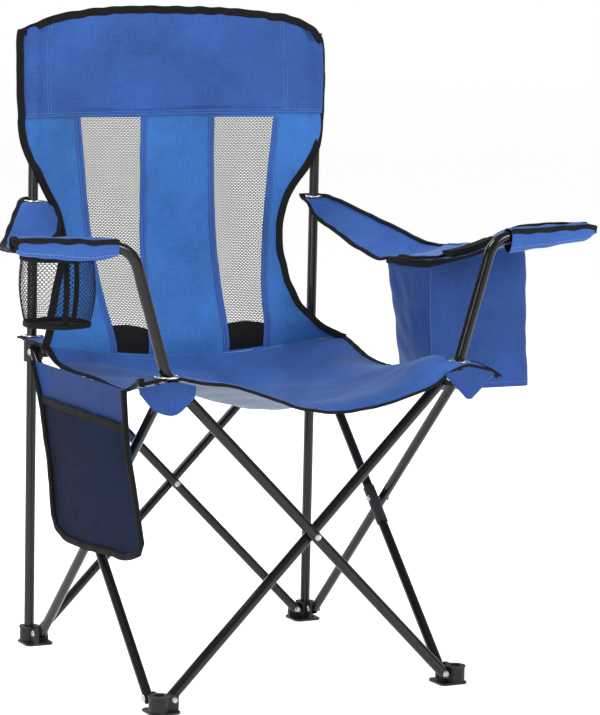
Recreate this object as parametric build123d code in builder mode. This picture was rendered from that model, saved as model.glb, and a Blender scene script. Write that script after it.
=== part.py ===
from build123d import *
import math
import os

# Folding camp chair, millimetres. Origin on the ground under the middle of the frame, +Z up.
# The sitter faces -Y, so the chair's left side is +X. Corners are numbered by quarter turns about Z
# from the front left one: 0 front left, 1 rear left, 2 rear right, 3 front right.
CORNERS = ("front_left", "rear_left", "rear_right", "front_right")
FRONT_LEFT, REAR_LEFT, REAR_RIGHT, FRONT_RIGHT = range(4)

# --- scissor frame -------------------------------------------------------------------------
POST = 227.3  # uprights and sockets, from the middle plane
PIVOT = 205.3  # rivets at the ends of the cross tubes, from the middle plane
LAYER = 224.1  # middle of each pair of crossing tubes, from the middle plane
LAYER_GAP = 8.3  # each tube's axis stands this far in or out of that middle
FOOT_PIVOT_Z = 17.0
TOP_PIVOT_Z = 431.0
TUBE_R = 6.8
FRONT_TUBE_R = 7.6
UPRIGHT_R = 7.2
TUBE_WALL = 1.0
END_PLUG = 14.0  # solid length at each end of a cross tube
END_R = 7.7  # round end of a cross tube about its rivet
RUN = 2 * PIVOT
RISE = TOP_PIVOT_Z - FOOT_PIVOT_Z
TUBE_LENGTH = math.hypot(RUN, RISE)
TUBE_LEAN = math.degrees(math.atan2(RUN, RISE))  # from the vertical
CROSSING_Z = (TOP_PIVOT_Z + FOOT_PIVOT_Z) / 2

# --- rivets --------------------------------------------------------------------------------
RIVET_R = 2.5
RIVET_FIT = 0.06
HEAD_R = 4.8
HEAD_T = 1.8
HEAD_TAPER = 40
TOUCH = 0.3  # gap between parts that turn against each other

# --- feet, hubs and collars ----------------------------------------------------------------
FOOT_SIZE = 42.0
FOOT_OUT = 14.0  # base plate past the socket's axis
FOOT_T = 3.0
FOOT_CHAMFER = 5.0
SOCKET_R = 13.5
SOCKET_H = 25.0
SOCKET_LIP_T = 2.0
SOCKET_LIP = 1.0
SOCKET_FIT = 0.05
LUG_REACH = 28.0  # from the socket's axis
LUG_T = 4.0
LUG_WIDE_T = 7.0
FOOT_LUG_H = 24.0
HUB_LOW_Z = 420.0
HUB_TOP_Z = 439.0
HUB_STEP_Z = 433.0
HUB_CORNER_Z = 428.0
HUB_STEP = 19.5  # the hub's tall part starts this far from its corner
COLLAR_FIT = 0.35
COLLAR_T = 4.0
COLLAR_LOW_Z = 415.0
COLLAR_TOP_Z = 443.0

# --- uprights ------------------------------------------------------------------------------
UPRIGHT_LOW_Z = 4.0
UPRIGHT_TOP_Z = 888.0
CAP_T = 2.5
CAP_PLUG = 12.0
CAP_FIT = 0.05

# --- arms: the front tubes go on past the hubs and carry the armrests ----------------------
NECK = 30.0  # top rivet to the first bend
NECK_R = 40.0
SHOULDER_X = 276.6
SHOULDER_Z = 621.8
SHOULDER_R = 38.0
BAR_END = 432.0
BAR_END_Z = 628.6
BAR_RISE = math.degrees(math.atan2(BAR_END_Z - SHOULDER_Z, BAR_END - SHOULDER_X))

# --- grommets ------------------------------------------------------------------------------
GROMMET_FIT = 1.6
GROMMET_WIDTH = 4.0
GROMMET_T = 2.4
SEAT_GROMMET_Z = 450.3
SEAT_GROMMET_FIT = 5.6  # the front tubes pass through theirs on a slant
ARM_GROMMET_Z = 645.3

# --- spacer sleeves on the side crosses ----------------------------------------------------
SPACER_R = 8.3
SPACER_LENGTH = 62.0
SPACER_SHIFT = -12.0  # along the tube, from the crossing

# --- seat ----------------------------------------------------------------------------------
CLOTH = 3.0
SEAT_HALF_WIDTH = 203.0
SEAT_FRONT_Y = -204.0
SEAT_SPLIT_Y = 0.0
SEAT_REAR_Y = 170.0
SEAT_EDGE_Z = 428.0
SEAT_MIDDLE_Z = 398.0
SPLIT_GAP = 1.0
PATCH_SIZE = 50.0
PATCH_Z = 448.0
PATCH_T = 2.0
PATCH_OUT = 16.0
PATCH_ROUND = 6.0

# --- backrest ------------------------------------------------------------------------------
BACK_TOP_Z = 926.0
BACK_LOW_Z = 436.0
BACK_FRONT_Y = 216.0  # front face where the backrest passes the uprights
HEADER_LOW_Z = 768.0
HEADER_TOP_Z = 886.0
HEADER_GAP = 0.5
MESH_TOP_Z = 762.0
MESH_LOW_Z = 442.0
MESH_INNER_TOP, MESH_OUTER_TOP = 58.0, 154.0
MESH_INNER_LOW, MESH_OUTER_LOW = 64.0, 112.0
MESH_GAP = 1.0
HEADER_SLEEVE_R = 11.0

# --- armrests ------------------------------------------------------------------------------
HEM_R = 9.8
HEM_FIT = 0.3
HEM_START = 306.0
ARM_REAR_Y = 249.6
ARM_REAR_IN = 212.0
ARM_REAR_OUT = 246.0
ARM_FRONT_OUT = 442.0
ARM_REAR_Z = 645.0
ARM_LOW_Z = 579.0
ARM_FRONT_Z = 622.0

# --- cooler pouch under the left armrest ---------------------------------------------------
COOLER_X = 315.0
COOLER_Y = -47.0
COOLER_WIDTH = 146.0
COOLER_DEPTH = 130.0
COOLER_LOW_Z = 395.0
COOLER_TOP_Z = 572.0
COOLER_WALL = 4.0
COOLER_CORNER_R = 14.0
LID_MARGIN = 9.0
LID_INSET = 11.0
LID_WIDTH = COOLER_WIDTH - 2 * LID_INSET
LID_ROLL_R = 1.8  # rolled seam that the lid swings on

# --- cup holder under the right armrest ----------------------------------------------------
CUP_X = -322.0
CUP_Y = -92.0
CUP_RIM_R = 50.0
CUP_RIM_T = 6.0
CUP_TOP_R = 48.0
CUP_LOW_R = 44.0
CUP_TOP_Z = 602.0
CUP_LOW_Z = 505.0
CUP_WALL = 2.0
CUP_BASE_T = 3.0
CUP_FIT = 0.3
CUP_HOLE_R = 46.0

# --- pocket on the right edge of the seat --------------------------------------------------
POCKET_X = -244.0
POCKET_DEPTH = 9.0
POCKET_WALL = 1.5
POCKET_SEAM = 6.0
POCKET_MOUTH_Z = 376.0
POCKET_TOP_Z = 416.0


os.makedirs("parts", exist_ok=True)


def turned(corner, x, y, z=0.0):
    """A point or direction given for the front left corner, turned to another corner."""
    for _ in range(corner):
        x, y = -y, x
    return (x, y, z)


def level(corner, z):
    """Horizontal sketch plane at height z, turned with the corner."""
    return Plane(origin=(0, 0, z), x_dir=turned(corner, 1, 0), z_dir=(0, 0, 1))


def wall(corner, distance):
    """Upright sketch plane: x runs along the side, y is height, the normal points outwards."""
    return Plane(
        origin=turned(corner, 0, -distance),
        x_dir=turned(corner, 1, 0),
        z_dir=turned(corner, 0, -1),
    )


def side_wall(corner, distance):
    """Upright sketch plane across the corner's other side: x is the local y, y is height."""
    return Plane(
        origin=turned(corner, distance, 0),
        x_dir=turned(corner, 0, 1),
        z_dir=turned(corner, 1, 0),
    )


def write(part, name):
    part.label = name
    export_step(part, f"parts/{name}.step")


def band(points, thickness):
    """The closed outline of a strip that follows points, with its thickness below them."""
    lower = [(x, y - thickness) for x, y in reversed(points)]
    return points + lower


def ribbon(points, thickness):
    """The closed outline of a strip that follows points, with its thickness behind them in x."""
    rear = [(x + thickness, y) for x, y in reversed(points)]
    return points + rear


# --- cross tubes ---------------------------------------------------------------------------
def tube_ends(outer):
    """Lower and upper rivet of a cross tube, along its side and up."""
    side = 1 if outer else -1
    return (side * PIVOT, FOOT_PIVOT_Z), (-side * PIVOT, TOP_PIVOT_Z)


def layer(outer):
    return LAYER + LAYER_GAP if outer else LAYER - LAYER_GAP


def drill_rivet_holes(plane, centres):
    with BuildSketch(plane) as holes:
        with Locations(*centres):
            Circle(RIVET_R + RIVET_FIT)
    extrude(holes.sketch, amount=2 * FRONT_TUBE_R, both=True, mode=Mode.SUBTRACT)


def straight_tube(corner, outer):
    low, high = tube_ends(outer)
    along = ((high[0] - low[0]) / TUBE_LENGTH, (high[1] - low[1]) / TUBE_LENGTH)
    plane = wall(corner, layer(outer))
    axis = plane.from_local_coords(Vector(*along, 0)) - plane.from_local_coords(Vector(0, 0, 0))
    start = plane.from_local_coords(Vector(low[0] - END_R * along[0], low[1] - END_R * along[1], 0))
    length = TUBE_LENGTH + 2 * END_R
    lean = math.degrees(math.atan2(along[1], along[0]))
    with BuildPart() as tube:
        with BuildSketch(Plane(origin=start, z_dir=axis)):
            Circle(TUBE_R)
        extrude(amount=length)
        with BuildSketch(Plane(origin=start + axis * END_PLUG, z_dir=axis)):
            Circle(TUBE_R - TUBE_WALL)
        extrude(amount=length - 2 * END_PLUG, mode=Mode.SUBTRACT)
        with BuildSketch(plane):
            with Locations((0, CROSSING_Z)):
                SlotCenterToCenter(TUBE_LENGTH, 2 * END_R, rotation=lean)
        extrude(amount=TUBE_R + 1, both=True, mode=Mode.INTERSECT)
        drill_rivet_holes(plane, [low, (0, CROSSING_Z), high])
    return tube.part


def arm_tube(outer):
    """A front tube: straight from its foot to its hub, then bent up and out to carry an armrest."""
    low, high = tube_ends(outer)
    side = -1 if outer else 1
    lean = math.radians(TUBE_LEAN)
    plane = wall(FRONT_LEFT, layer(outer))
    start = (low[0] - side * END_R * math.sin(lean), low[1] - END_R * math.cos(lean))
    neck = (high[0] + side * NECK * math.sin(lean), high[1] + NECK * math.cos(lean))
    shoulder = (side * SHOULDER_X, SHOULDER_Z)
    tip = (side * BAR_END, BAR_END_Z)
    with BuildPart() as tube:
        with BuildLine(plane) as path:
            FilletPolyline(start, neck, shoulder, tip, radius=[NECK_R, SHOULDER_R])
        foot_end = Plane(origin=path.line @ 0, z_dir=path.line % 0)
        with BuildSketch(foot_end):
            Circle(FRONT_TUBE_R)
            Circle(FRONT_TUBE_R - TUBE_WALL, mode=Mode.SUBTRACT)
        sweep(path=path.line)
        with BuildSketch(foot_end):
            Circle(FRONT_TUBE_R - TUBE_WALL / 2)
        extrude(amount=END_PLUG)
        with BuildSketch(plane):
            with Locations(low):
                Rectangle(4 * END_R, 2 * END_R, rotation=-side * TUBE_LEAN, align=(Align.CENTER, Align.MAX))
                Circle(END_R, mode=Mode.SUBTRACT)
        extrude(amount=FRONT_TUBE_R + 1, both=True, mode=Mode.SUBTRACT)
        drill_rivet_holes(plane, [low, (0, CROSSING_Z), high])
    return tube.part


def rivet(plane, centre, length):
    """A rivet with its outer head on the plane and its other head a length behind it."""
    with BuildSketch(plane) as shank:
        with Locations(centre):
            Circle(RIVET_R)
    extrude(shank.sketch, amount=-length)
    with BuildSketch(plane) as outer_head:
        with Locations(centre):
            Circle(HEAD_R)
    extrude(outer_head.sketch, amount=HEAD_T, taper=HEAD_TAPER)
    with BuildSketch(plane.offset(-length)) as inner_head:
        with Locations(centre):
            Circle(HEAD_R)
    extrude(inner_head.sketch, amount=-HEAD_T, taper=HEAD_TAPER)


def crossing_rivet(corner, radius):
    outer_face = layer(True) + radius + TOUCH
    inner_face = layer(False) - radius - TOUCH
    with BuildPart() as part:
        rivet(wall(corner, outer_face), (0, CROSSING_Z), outer_face - inner_face)
    return part.part


for corner, side_name in enumerate(("front", "left", "rear", "right")):
    for outer in (True, False):
        label = f"{side_name}_tube_" + ("outer" if outer else "inner")
        if corner == FRONT_LEFT:
            write(arm_tube(outer), label)
        else:
            write(straight_tube(corner, outer), label)
    radius = FRONT_TUBE_R if corner == FRONT_LEFT else TUBE_R
    write(crossing_rivet(corner, radius), f"{side_name}_crossing_rivet")


def spacer(corner):
    """A plastic sleeve that keeps the side tubes apart where they cross."""
    lean = math.radians(TUBE_LEAN)
    plane = wall(corner, layer(False))
    axis = plane.from_local_coords(Vector(math.sin(lean), math.cos(lean), 0)) - plane.origin
    middle = plane.from_local_coords(
        Vector(SPACER_SHIFT * math.sin(lean), CROSSING_Z + SPACER_SHIFT * math.cos(lean), 0)
    )
    with BuildPart() as sleeve:
        with BuildSketch(Plane(origin=middle, z_dir=axis)):
            Circle(SPACER_R)
            Circle(TUBE_R + SOCKET_FIT, mode=Mode.SUBTRACT)
        extrude(amount=SPACER_LENGTH / 2, both=True)
        with BuildSketch(plane):
            with Locations((0, CROSSING_Z)):
                Circle(HEAD_R + 1)
        extrude(amount=2 * SPACER_R, both=True, mode=Mode.SUBTRACT)
    return sleeve.part


for corner, label in ((REAR_LEFT, "left_tube_spacer"), (FRONT_RIGHT, "right_tube_spacer")):
    write(spacer(corner), label)


# --- feet ----------------------------------------------------------------------------------
def tube_radius(corner, on_front_side):
    """Radius of the cross tube on one side of a corner: the two front tubes are the thick ones."""
    if on_front_side:
        return FRONT_TUBE_R if corner == FRONT_LEFT else TUBE_R
    return FRONT_TUBE_R if corner == FRONT_RIGHT else TUBE_R


def foot(corner):
    """Base plate, socket, and two walls that the corner's cross tubes are riveted to."""
    outer_near = layer(True) - tube_radius(corner, True) - TOUCH
    inner_near = layer(False) + tube_radius(corner, False) + TOUCH
    with BuildPart() as part:
        with BuildSketch(level(corner, 0)) as base:
            with Locations((POST + FOOT_OUT, -POST - FOOT_OUT)):
                Rectangle(FOOT_SIZE, FOOT_SIZE, align=(Align.MAX, Align.MIN))
            chamfer(base.vertices(), FOOT_CHAMFER)
        extrude(amount=FOOT_T)
        with BuildSketch(level(corner, 0)):
            with Locations((POST, -POST)):
                Circle(SOCKET_R)
        extrude(amount=SOCKET_H)
        with BuildSketch(level(corner, 0)):
            with Locations((POST - LUG_REACH, -outer_near)):
                Rectangle(LUG_REACH, LUG_T, align=(Align.MIN, Align.MIN))
            with Locations((inner_near, -POST)):
                Rectangle(LUG_WIDE_T, LUG_REACH, align=(Align.MIN, Align.MIN))
        extrude(amount=FOOT_LUG_H)
        with BuildSketch(level(corner, SOCKET_H - SOCKET_LIP_T)):
            with Locations((POST, -POST)):
                Circle(SOCKET_R + SOCKET_LIP)
        extrude(amount=SOCKET_LIP_T)
        with BuildSketch(level(corner, UPRIGHT_LOW_Z)):
            with Locations((POST, -POST)):
                Circle(UPRIGHT_R + SOCKET_FIT)
        extrude(amount=SOCKET_H, mode=Mode.SUBTRACT)
        with BuildSketch(wall(corner, outer_near)):
            with Locations((PIVOT, FOOT_PIVOT_Z)):
                Circle(RIVET_R + RIVET_FIT)
        extrude(amount=-LUG_T, mode=Mode.SUBTRACT)
        with BuildSketch(side_wall(corner, inner_near)):
            with Locations((-PIVOT, FOOT_PIVOT_Z)):
                Circle(RIVET_R + RIVET_FIT)
        extrude(amount=LUG_WIDE_T, mode=Mode.SUBTRACT)
    return part.part


def foot_rivets(corner):
    front_r = tube_radius(corner, True)
    side_r = tube_radius(corner, False)
    front_face = layer(True) + front_r + TOUCH
    front_length = 2 * front_r + 2 * TOUCH + LUG_T
    side_face = layer(False) + side_r + TOUCH + LUG_WIDE_T
    side_length = 2 * side_r + 2 * TOUCH + LUG_WIDE_T
    with BuildPart() as part:
        rivet(wall(corner, front_face), (PIVOT, FOOT_PIVOT_Z), front_length)
        rivet(side_wall(corner, side_face), (-PIVOT, FOOT_PIVOT_Z), side_length)
    return part.part


for corner, label in enumerate(CORNERS):
    write(foot(corner), f"{label}_foot")
    write(foot_rivets(corner), f"{label}_foot_rivets")


# --- hubs at the seat's front corners, collars that slide on the uprights -------------------
def top_lugs(corner, low_z, top_z):
    """The two walls that the upper ends of a corner's cross tubes are riveted to."""
    inner_near = layer(False) + tube_radius(corner, True) + TOUCH
    outer_near = layer(True) - tube_radius(corner, False) - TOUCH
    with BuildSketch(level(corner, low_z)) as lugs:
        with Locations((POST - LUG_REACH, -inner_near)):
            Rectangle(LUG_REACH, LUG_T, align=(Align.MIN, Align.MAX))
        with Locations((outer_near, -POST + LUG_REACH)):
            Rectangle(LUG_T, LUG_REACH, align=(Align.MAX, Align.MAX))
    extrude(lugs.sketch, amount=top_z - low_z)
    return inner_near, outer_near


def drill_top_lugs(corner, inner_near, outer_near):
    with BuildSketch(wall(corner, inner_near)) as front_hole:
        with Locations((PIVOT, TOP_PIVOT_Z)):
            Circle(RIVET_R + RIVET_FIT)
    extrude(front_hole.sketch, amount=LUG_T, mode=Mode.SUBTRACT)
    with BuildSketch(side_wall(corner, outer_near)) as side_hole:
        with Locations((-PIVOT, TOP_PIVOT_Z)):
            Circle(RIVET_R + RIVET_FIT)
    extrude(side_hole.sketch, amount=-LUG_T, mode=Mode.SUBTRACT)


def hub(corner):
    """A corner bracket: low where the arm tube passes over it, tall round its rivets."""
    with BuildPart() as part:
        near = top_lugs(corner, HUB_LOW_Z, HUB_TOP_Z)
        with BuildSketch(level(corner, HUB_STEP_Z)):
            with Locations((POST - HUB_STEP, -POST - LUG_REACH)):
                Rectangle(2 * LUG_REACH, LUG_REACH + HUB_STEP, align=(Align.MIN, Align.MIN))
        extrude(amount=HUB_TOP_Z, mode=Mode.SUBTRACT)
        with BuildSketch(level(corner, HUB_CORNER_Z)):
            with Locations((POST - LUG_REACH / 2, -POST - LUG_REACH)):
                Rectangle(2 * LUG_REACH, LUG_REACH * 3 / 2, align=(Align.MIN, Align.MIN))
        extrude(amount=HUB_TOP_Z, mode=Mode.SUBTRACT)
        drill_top_lugs(corner, *near)
    return part.part


def collar(corner):
    bore = UPRIGHT_R + COLLAR_FIT
    with BuildPart() as part:
        near = top_lugs(corner, HUB_LOW_Z, HUB_TOP_Z)
        with BuildSketch(level(corner, COLLAR_LOW_Z)):
            with Locations((POST, -POST)):
                Circle(bore + COLLAR_T)
        extrude(amount=COLLAR_TOP_Z - COLLAR_LOW_Z)
        with BuildSketch(level(corner, COLLAR_LOW_Z)):
            with Locations((POST, -POST)):
                Circle(bore)
        extrude(amount=COLLAR_TOP_Z - COLLAR_LOW_Z, mode=Mode.SUBTRACT)
        drill_top_lugs(corner, *near)
    return part.part


def top_rivets(corner):
    inner_r = tube_radius(corner, True)
    outer_r = tube_radius(corner, False)
    front_face = layer(False) + inner_r + TOUCH + LUG_T
    side_face = layer(True) + outer_r + TOUCH
    with BuildPart() as part:
        rivet(wall(corner, front_face), (PIVOT, TOP_PIVOT_Z), LUG_T + 2 * inner_r + 2 * TOUCH)
        rivet(side_wall(corner, side_face), (-PIVOT, TOP_PIVOT_Z), LUG_T + 2 * outer_r + 2 * TOUCH)
    return part.part


for corner in (FRONT_LEFT, FRONT_RIGHT):
    write(hub(corner), f"{CORNERS[corner]}_hub")
    write(top_rivets(corner), f"{CORNERS[corner]}_hub_rivets")
for corner in (REAR_LEFT, REAR_RIGHT):
    write(collar(corner), f"{CORNERS[corner]}_collar")
    write(top_rivets(corner), f"{CORNERS[corner]}_collar_rivets")


# --- uprights and plugs --------------------------------------------------------------------
for corner in (REAR_LEFT, REAR_RIGHT):
    with BuildPart() as upright:
        with BuildSketch(level(corner, UPRIGHT_LOW_Z)):
            with Locations((POST, -POST)):
                Circle(UPRIGHT_R)
                Circle(UPRIGHT_R - TUBE_WALL, mode=Mode.SUBTRACT)
        extrude(amount=UPRIGHT_TOP_Z - UPRIGHT_LOW_Z)
    write(upright.part, f"{CORNERS[corner]}_upright")
    with BuildPart() as cap:
        with BuildSketch(level(corner, UPRIGHT_TOP_Z)):
            with Locations((POST, -POST)):
                Circle(UPRIGHT_R)
        extrude(amount=CAP_T)
        with BuildSketch(level(corner, UPRIGHT_TOP_Z)):
            with Locations((POST, -POST)):
                Circle(UPRIGHT_R - TUBE_WALL - CAP_FIT)
        extrude(amount=-CAP_PLUG)
    write(cap.part, f"{CORNERS[corner]}_upright_cap")


def bar_plane(outer, distance):
    """Section of an armrest bar, a distance inwards from its tip, facing out of the tip."""
    side = -1 if outer else 1
    rise = math.radians(BAR_RISE)
    x = BAR_END - distance * math.cos(rise)
    z = BAR_END_Z - distance * math.sin(rise)
    return Plane(origin=(side * x, -layer(outer), z), z_dir=(side * math.cos(rise), 0, math.sin(rise)))


for outer, label in ((False, "left_arm_bar_cap"), (True, "right_arm_bar_cap")):
    with BuildPart() as cap:
        with BuildSketch(bar_plane(outer, 0)):
            Circle(FRONT_TUBE_R)
        extrude(amount=CAP_T)
        with BuildSketch(bar_plane(outer, 0)):
            Circle(FRONT_TUBE_R - TUBE_WALL - CAP_FIT)
        extrude(amount=-CAP_PLUG)
    write(cap.part, label)


# --- grommets ------------------------------------------------------------------------------
def grommet(plane, radius):
    with BuildPart() as ring:
        with BuildSketch(plane):
            Circle(radius + GROMMET_WIDTH)
            Circle(radius, mode=Mode.SUBTRACT)
        extrude(amount=GROMMET_T)
        fillet(ring.edges().filter_by(GeomType.CIRCLE), GROMMET_T / 3)
    return ring.part


def patch_hole(corner):
    """Middle and radius of the hole in a seat corner that the tube or upright passes through."""
    if corner in (REAR_LEFT, REAR_RIGHT):
        x, y, _ = turned(corner, POST, -POST)
        return (x, y), UPRIGHT_R + GROMMET_FIT
    run = (SEAT_GROMMET_Z - TOP_PIVOT_Z) * RUN / RISE
    side = 1 if corner == FRONT_LEFT else -1
    return (side * (PIVOT + run), -layer(corner == FRONT_RIGHT)), FRONT_TUBE_R + SEAT_GROMMET_FIT


for corner, corner_name in enumerate(CORNERS):
    (x, y), ring_r = patch_hole(corner)
    write(grommet(Plane((x, y, SEAT_GROMMET_Z)), ring_r), f"{corner_name}_seat_grommet")
for corner, label in ((REAR_LEFT, "left_arm_grommet"), (REAR_RIGHT, "right_arm_grommet")):
    (x, y), ring_r = patch_hole(corner)
    write(grommet(Plane((x, y, ARM_GROMMET_Z)), ring_r), label)


# --- seat: one cloth in two halves, which hang from the hubs and the collars when folded ----
def seat_half(low_y, high_y):
    right_top = (-SEAT_HALF_WIDTH, SEAT_EDGE_Z)
    left_top = (SEAT_HALF_WIDTH, SEAT_EDGE_Z)
    right_low = (-SEAT_HALF_WIDTH, SEAT_EDGE_Z - CLOTH)
    left_low = (SEAT_HALF_WIDTH, SEAT_EDGE_Z - CLOTH)
    with BuildPart() as part:
        with BuildSketch(Plane.XZ.offset(-high_y)):
            with BuildLine():
                ThreePointArc(right_top, (0, SEAT_MIDDLE_Z), left_top)
                Line(left_top, left_low)
                ThreePointArc(left_low, (0, SEAT_MIDDLE_Z - CLOTH), right_low)
                Line(right_low, right_top)
            make_face()
        extrude(amount=high_y - low_y)
    return part.part


write(seat_half(SEAT_FRONT_Y, SEAT_SPLIT_Y - SPLIT_GAP / 2), "seat_front")
write(seat_half(SEAT_SPLIT_Y + SPLIT_GAP / 2, SEAT_REAR_Y), "seat_rear")

for corner, corner_name in enumerate(CORNERS):
    hole, hole_r = patch_hole(corner)
    middle = POST + PATCH_OUT - PATCH_SIZE / 2
    with BuildPart() as patch:
        with BuildSketch(Plane.XY.offset(PATCH_Z)):
            with Locations(turned(corner, middle, -middle)):
                RectangleRounded(PATCH_SIZE, PATCH_SIZE, PATCH_ROUND)
            with Locations(hole):
                Circle(hole_r, mode=Mode.SUBTRACT)
        extrude(amount=PATCH_T)
    write(patch.part, f"{corner_name}_seat_patch")


# --- backrest ------------------------------------------------------------------------------
BACK_PROFILE = [
    (BACK_FRONT_Y - 50, BACK_LOW_Z),
    (BACK_FRONT_Y - 24, 520.0),
    (BACK_FRONT_Y - 4, 600.0),
    (BACK_FRONT_Y, 680.0),
    (BACK_FRONT_Y, BACK_TOP_Z),
]
BACK_HALF_OUTLINE = [
    (0.0, BACK_TOP_Z),
    (110.0, BACK_TOP_Z - 6),
    (212.0, BACK_TOP_Z - 26),
    (240.0, BACK_TOP_Z - 48),
    (246.0, 780.0),
    (240.0, 725.0),
    (212.0, 680.0),
    (184.0, 615.0),
    (178.0, 560.0),
    (188.0, 505.0),
    (210.0, 465.0),
    (206.0, BACK_LOW_Z),
]


def both_sides(half):
    return half + [(-x, z) for x, z in reversed(half) if x > 0]


def slab_along_profile(half_width):
    """The backrest's curved sheet, wider than its outline."""
    with BuildSketch(Plane.YZ.offset(-half_width)) as profile:
        Polygon(*ribbon(BACK_PROFILE, CLOTH), align=None)
    extrude(profile.sketch, amount=2 * half_width)


def mesh_window(side, gap):
    return [
        (side * (MESH_INNER_TOP + gap), MESH_TOP_Z - gap),
        (side * (MESH_OUTER_TOP - gap), MESH_TOP_Z - gap),
        (side * (MESH_OUTER_LOW - gap), MESH_LOW_Z + gap),
        (side * (MESH_INNER_LOW + gap), MESH_LOW_Z + gap),
    ]


with BuildPart() as back_panel:
    slab_along_profile(POST + PATCH_OUT + PATCH_SIZE)
    with BuildSketch(Plane.XZ):
        Polygon(*both_sides(BACK_HALF_OUTLINE), align=None)
        for side in (-1, 1):
            Polygon(*mesh_window(side, 0.0), align=None, mode=Mode.SUBTRACT)
    extrude(amount=-2 * POST, mode=Mode.INTERSECT)
write(back_panel.part, "back_panel")

for side, label in ((1, "back_mesh_left"), (-1, "back_mesh_right")):
    with BuildPart() as mesh_panel:
        slab_along_profile(POST)
        with BuildSketch(Plane.XZ):
            Polygon(*mesh_window(side, MESH_GAP), align=None)
        extrude(amount=-2 * POST, mode=Mode.INTERSECT)
    write(mesh_panel.part, label)

# the header band behind the top of the backrest, with a sleeve round each upright
with BuildPart() as back_header:
    with BuildSketch(Plane.XY.offset(HEADER_LOW_Z)):
        with Locations((-POST, POST), (POST, POST)):
            Circle(HEADER_SLEEVE_R)
        with Locations((0, POST)):
            Rectangle(2 * POST, CLOTH)
        with Locations((-POST, POST), (POST, POST)):
            Circle(UPRIGHT_R + COLLAR_FIT, mode=Mode.SUBTRACT)
        with Locations((0, BACK_FRONT_Y + CLOTH + HEADER_GAP)):
            Rectangle(3 * POST, 2 * HEADER_SLEEVE_R, align=(Align.CENTER, Align.MAX), mode=Mode.SUBTRACT)
    extrude(amount=HEADER_TOP_Z - HEADER_LOW_Z)
write(back_header.part, "back_header")


# --- armrests ------------------------------------------------------------------------------
LEFT_ARM_PROFILE = [
    (ARM_REAR_Y, ARM_REAR_Z),
    (204.0, ARM_REAR_Z),
    (150.0, 614.0),
    (40.0, ARM_LOW_Z),
    (-114.0, ARM_LOW_Z),
    (-190.0, 616.0),
    (-203.0, ARM_FRONT_Z),
]
RIGHT_ARM_PROFILE = [
    (ARM_REAR_Y, ARM_REAR_Z),
    (204.0, ARM_REAR_Z),
    (150.0, 630.0),
    (0.0, 609.0),
    (-150.0, 609.0),
    (-203.0, ARM_FRONT_Z),
]
# half outlines in plan, from the upright to the bar: distance from the middle plane, then y
LEFT_ARM_OUTER = [(ARM_REAR_OUT, ARM_REAR_Y), (300.0, 150.0), (394.0, 30.0), (398.0, -116.0)]
LEFT_ARM_INNER = [(ARM_REAR_IN, ARM_REAR_Y), (222.0, 150.0), (236.0, 30.0), (236.0, -116.0), (284.0, -190.0)]
RIGHT_ARM_OUTER = [(ARM_REAR_OUT, ARM_REAR_Y), (300.0, 150.0), (380.0, -30.0)]
RIGHT_ARM_INNER = [(ARM_REAR_IN, ARM_REAR_Y), (258.0, 0.0), (262.0, -130.0), (284.0, -190.0)]


def armrest(outer, profile, outer_edge, inner_edge, opening):
    """Cloth sling from the upright to the bar, with a hem round the bar."""
    side = -1 if outer else 1
    bar_y = -layer(outer)
    front_edge = [(ARM_FRONT_OUT, bar_y), (HEM_START, bar_y)]
    outline = [(side * x, y) for x, y in outer_edge + front_edge + inner_edge[::-1]]
    near_x = min(side * ARM_REAR_IN, side * ARM_FRONT_OUT)
    hem_inner_end = bar_plane(outer, BAR_END - HEM_START)
    hem_length = ARM_FRONT_OUT - HEM_START
    with BuildPart() as part:
        with BuildSketch(Plane.YZ.offset(near_x)):
            Polygon(*band(profile + [(bar_y, ARM_FRONT_Z)], CLOTH), align=None)
        extrude(amount=ARM_FRONT_OUT - ARM_REAR_IN)
        with BuildSketch(Plane.XY):
            Polygon(*outline, align=None)
            with Locations((side * POST, POST)):
                Circle(UPRIGHT_R + GROMMET_FIT, mode=Mode.SUBTRACT)
            add(opening, mode=Mode.SUBTRACT)
        extrude(amount=UPRIGHT_TOP_Z, mode=Mode.INTERSECT)
        with BuildSketch(hem_inner_end):
            Circle(HEM_R)
        extrude(amount=hem_length)
        with BuildSketch(hem_inner_end):
            Circle(FRONT_TUBE_R + HEM_FIT)
        extrude(amount=2 * hem_length, both=True, mode=Mode.SUBTRACT)
    return part.part


with BuildSketch() as lid_opening:
    with Locations((COOLER_X, COOLER_Y)):
        Rectangle(COOLER_WIDTH - 2 * LID_MARGIN, COOLER_DEPTH - 2 * LID_MARGIN)
with BuildSketch() as cup_opening:
    with Locations((CUP_X, CUP_Y)):
        Circle(CUP_HOLE_R)
left_armrest = armrest(False, LEFT_ARM_PROFILE, LEFT_ARM_OUTER, LEFT_ARM_INNER, lid_opening.sketch)
right_armrest = armrest(True, RIGHT_ARM_PROFILE, RIGHT_ARM_OUTER, RIGHT_ARM_INNER, cup_opening.sketch)
write(left_armrest, "left_armrest")
write(right_armrest, "right_armrest")


# --- cooler pouch --------------------------------------------------------------------------
with BuildPart() as cooler:
    with BuildSketch(Plane.XY.offset(COOLER_LOW_Z)):
        with Locations((COOLER_X, COOLER_Y)):
            RectangleRounded(COOLER_WIDTH, COOLER_DEPTH, COOLER_CORNER_R)
    extrude(amount=COOLER_TOP_Z - COOLER_LOW_Z)
    with BuildSketch(Plane.XY.offset(COOLER_LOW_Z + COOLER_WALL)):
        with Locations((COOLER_X, COOLER_Y)):
            RectangleRounded(
                COOLER_WIDTH - 2 * COOLER_WALL,
                COOLER_DEPTH - 2 * COOLER_WALL,
                COOLER_CORNER_R - COOLER_WALL,
            )
    extrude(amount=COOLER_TOP_Z - COOLER_LOW_Z, mode=Mode.SUBTRACT)
write(cooler.part, "cooler_pouch")

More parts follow.
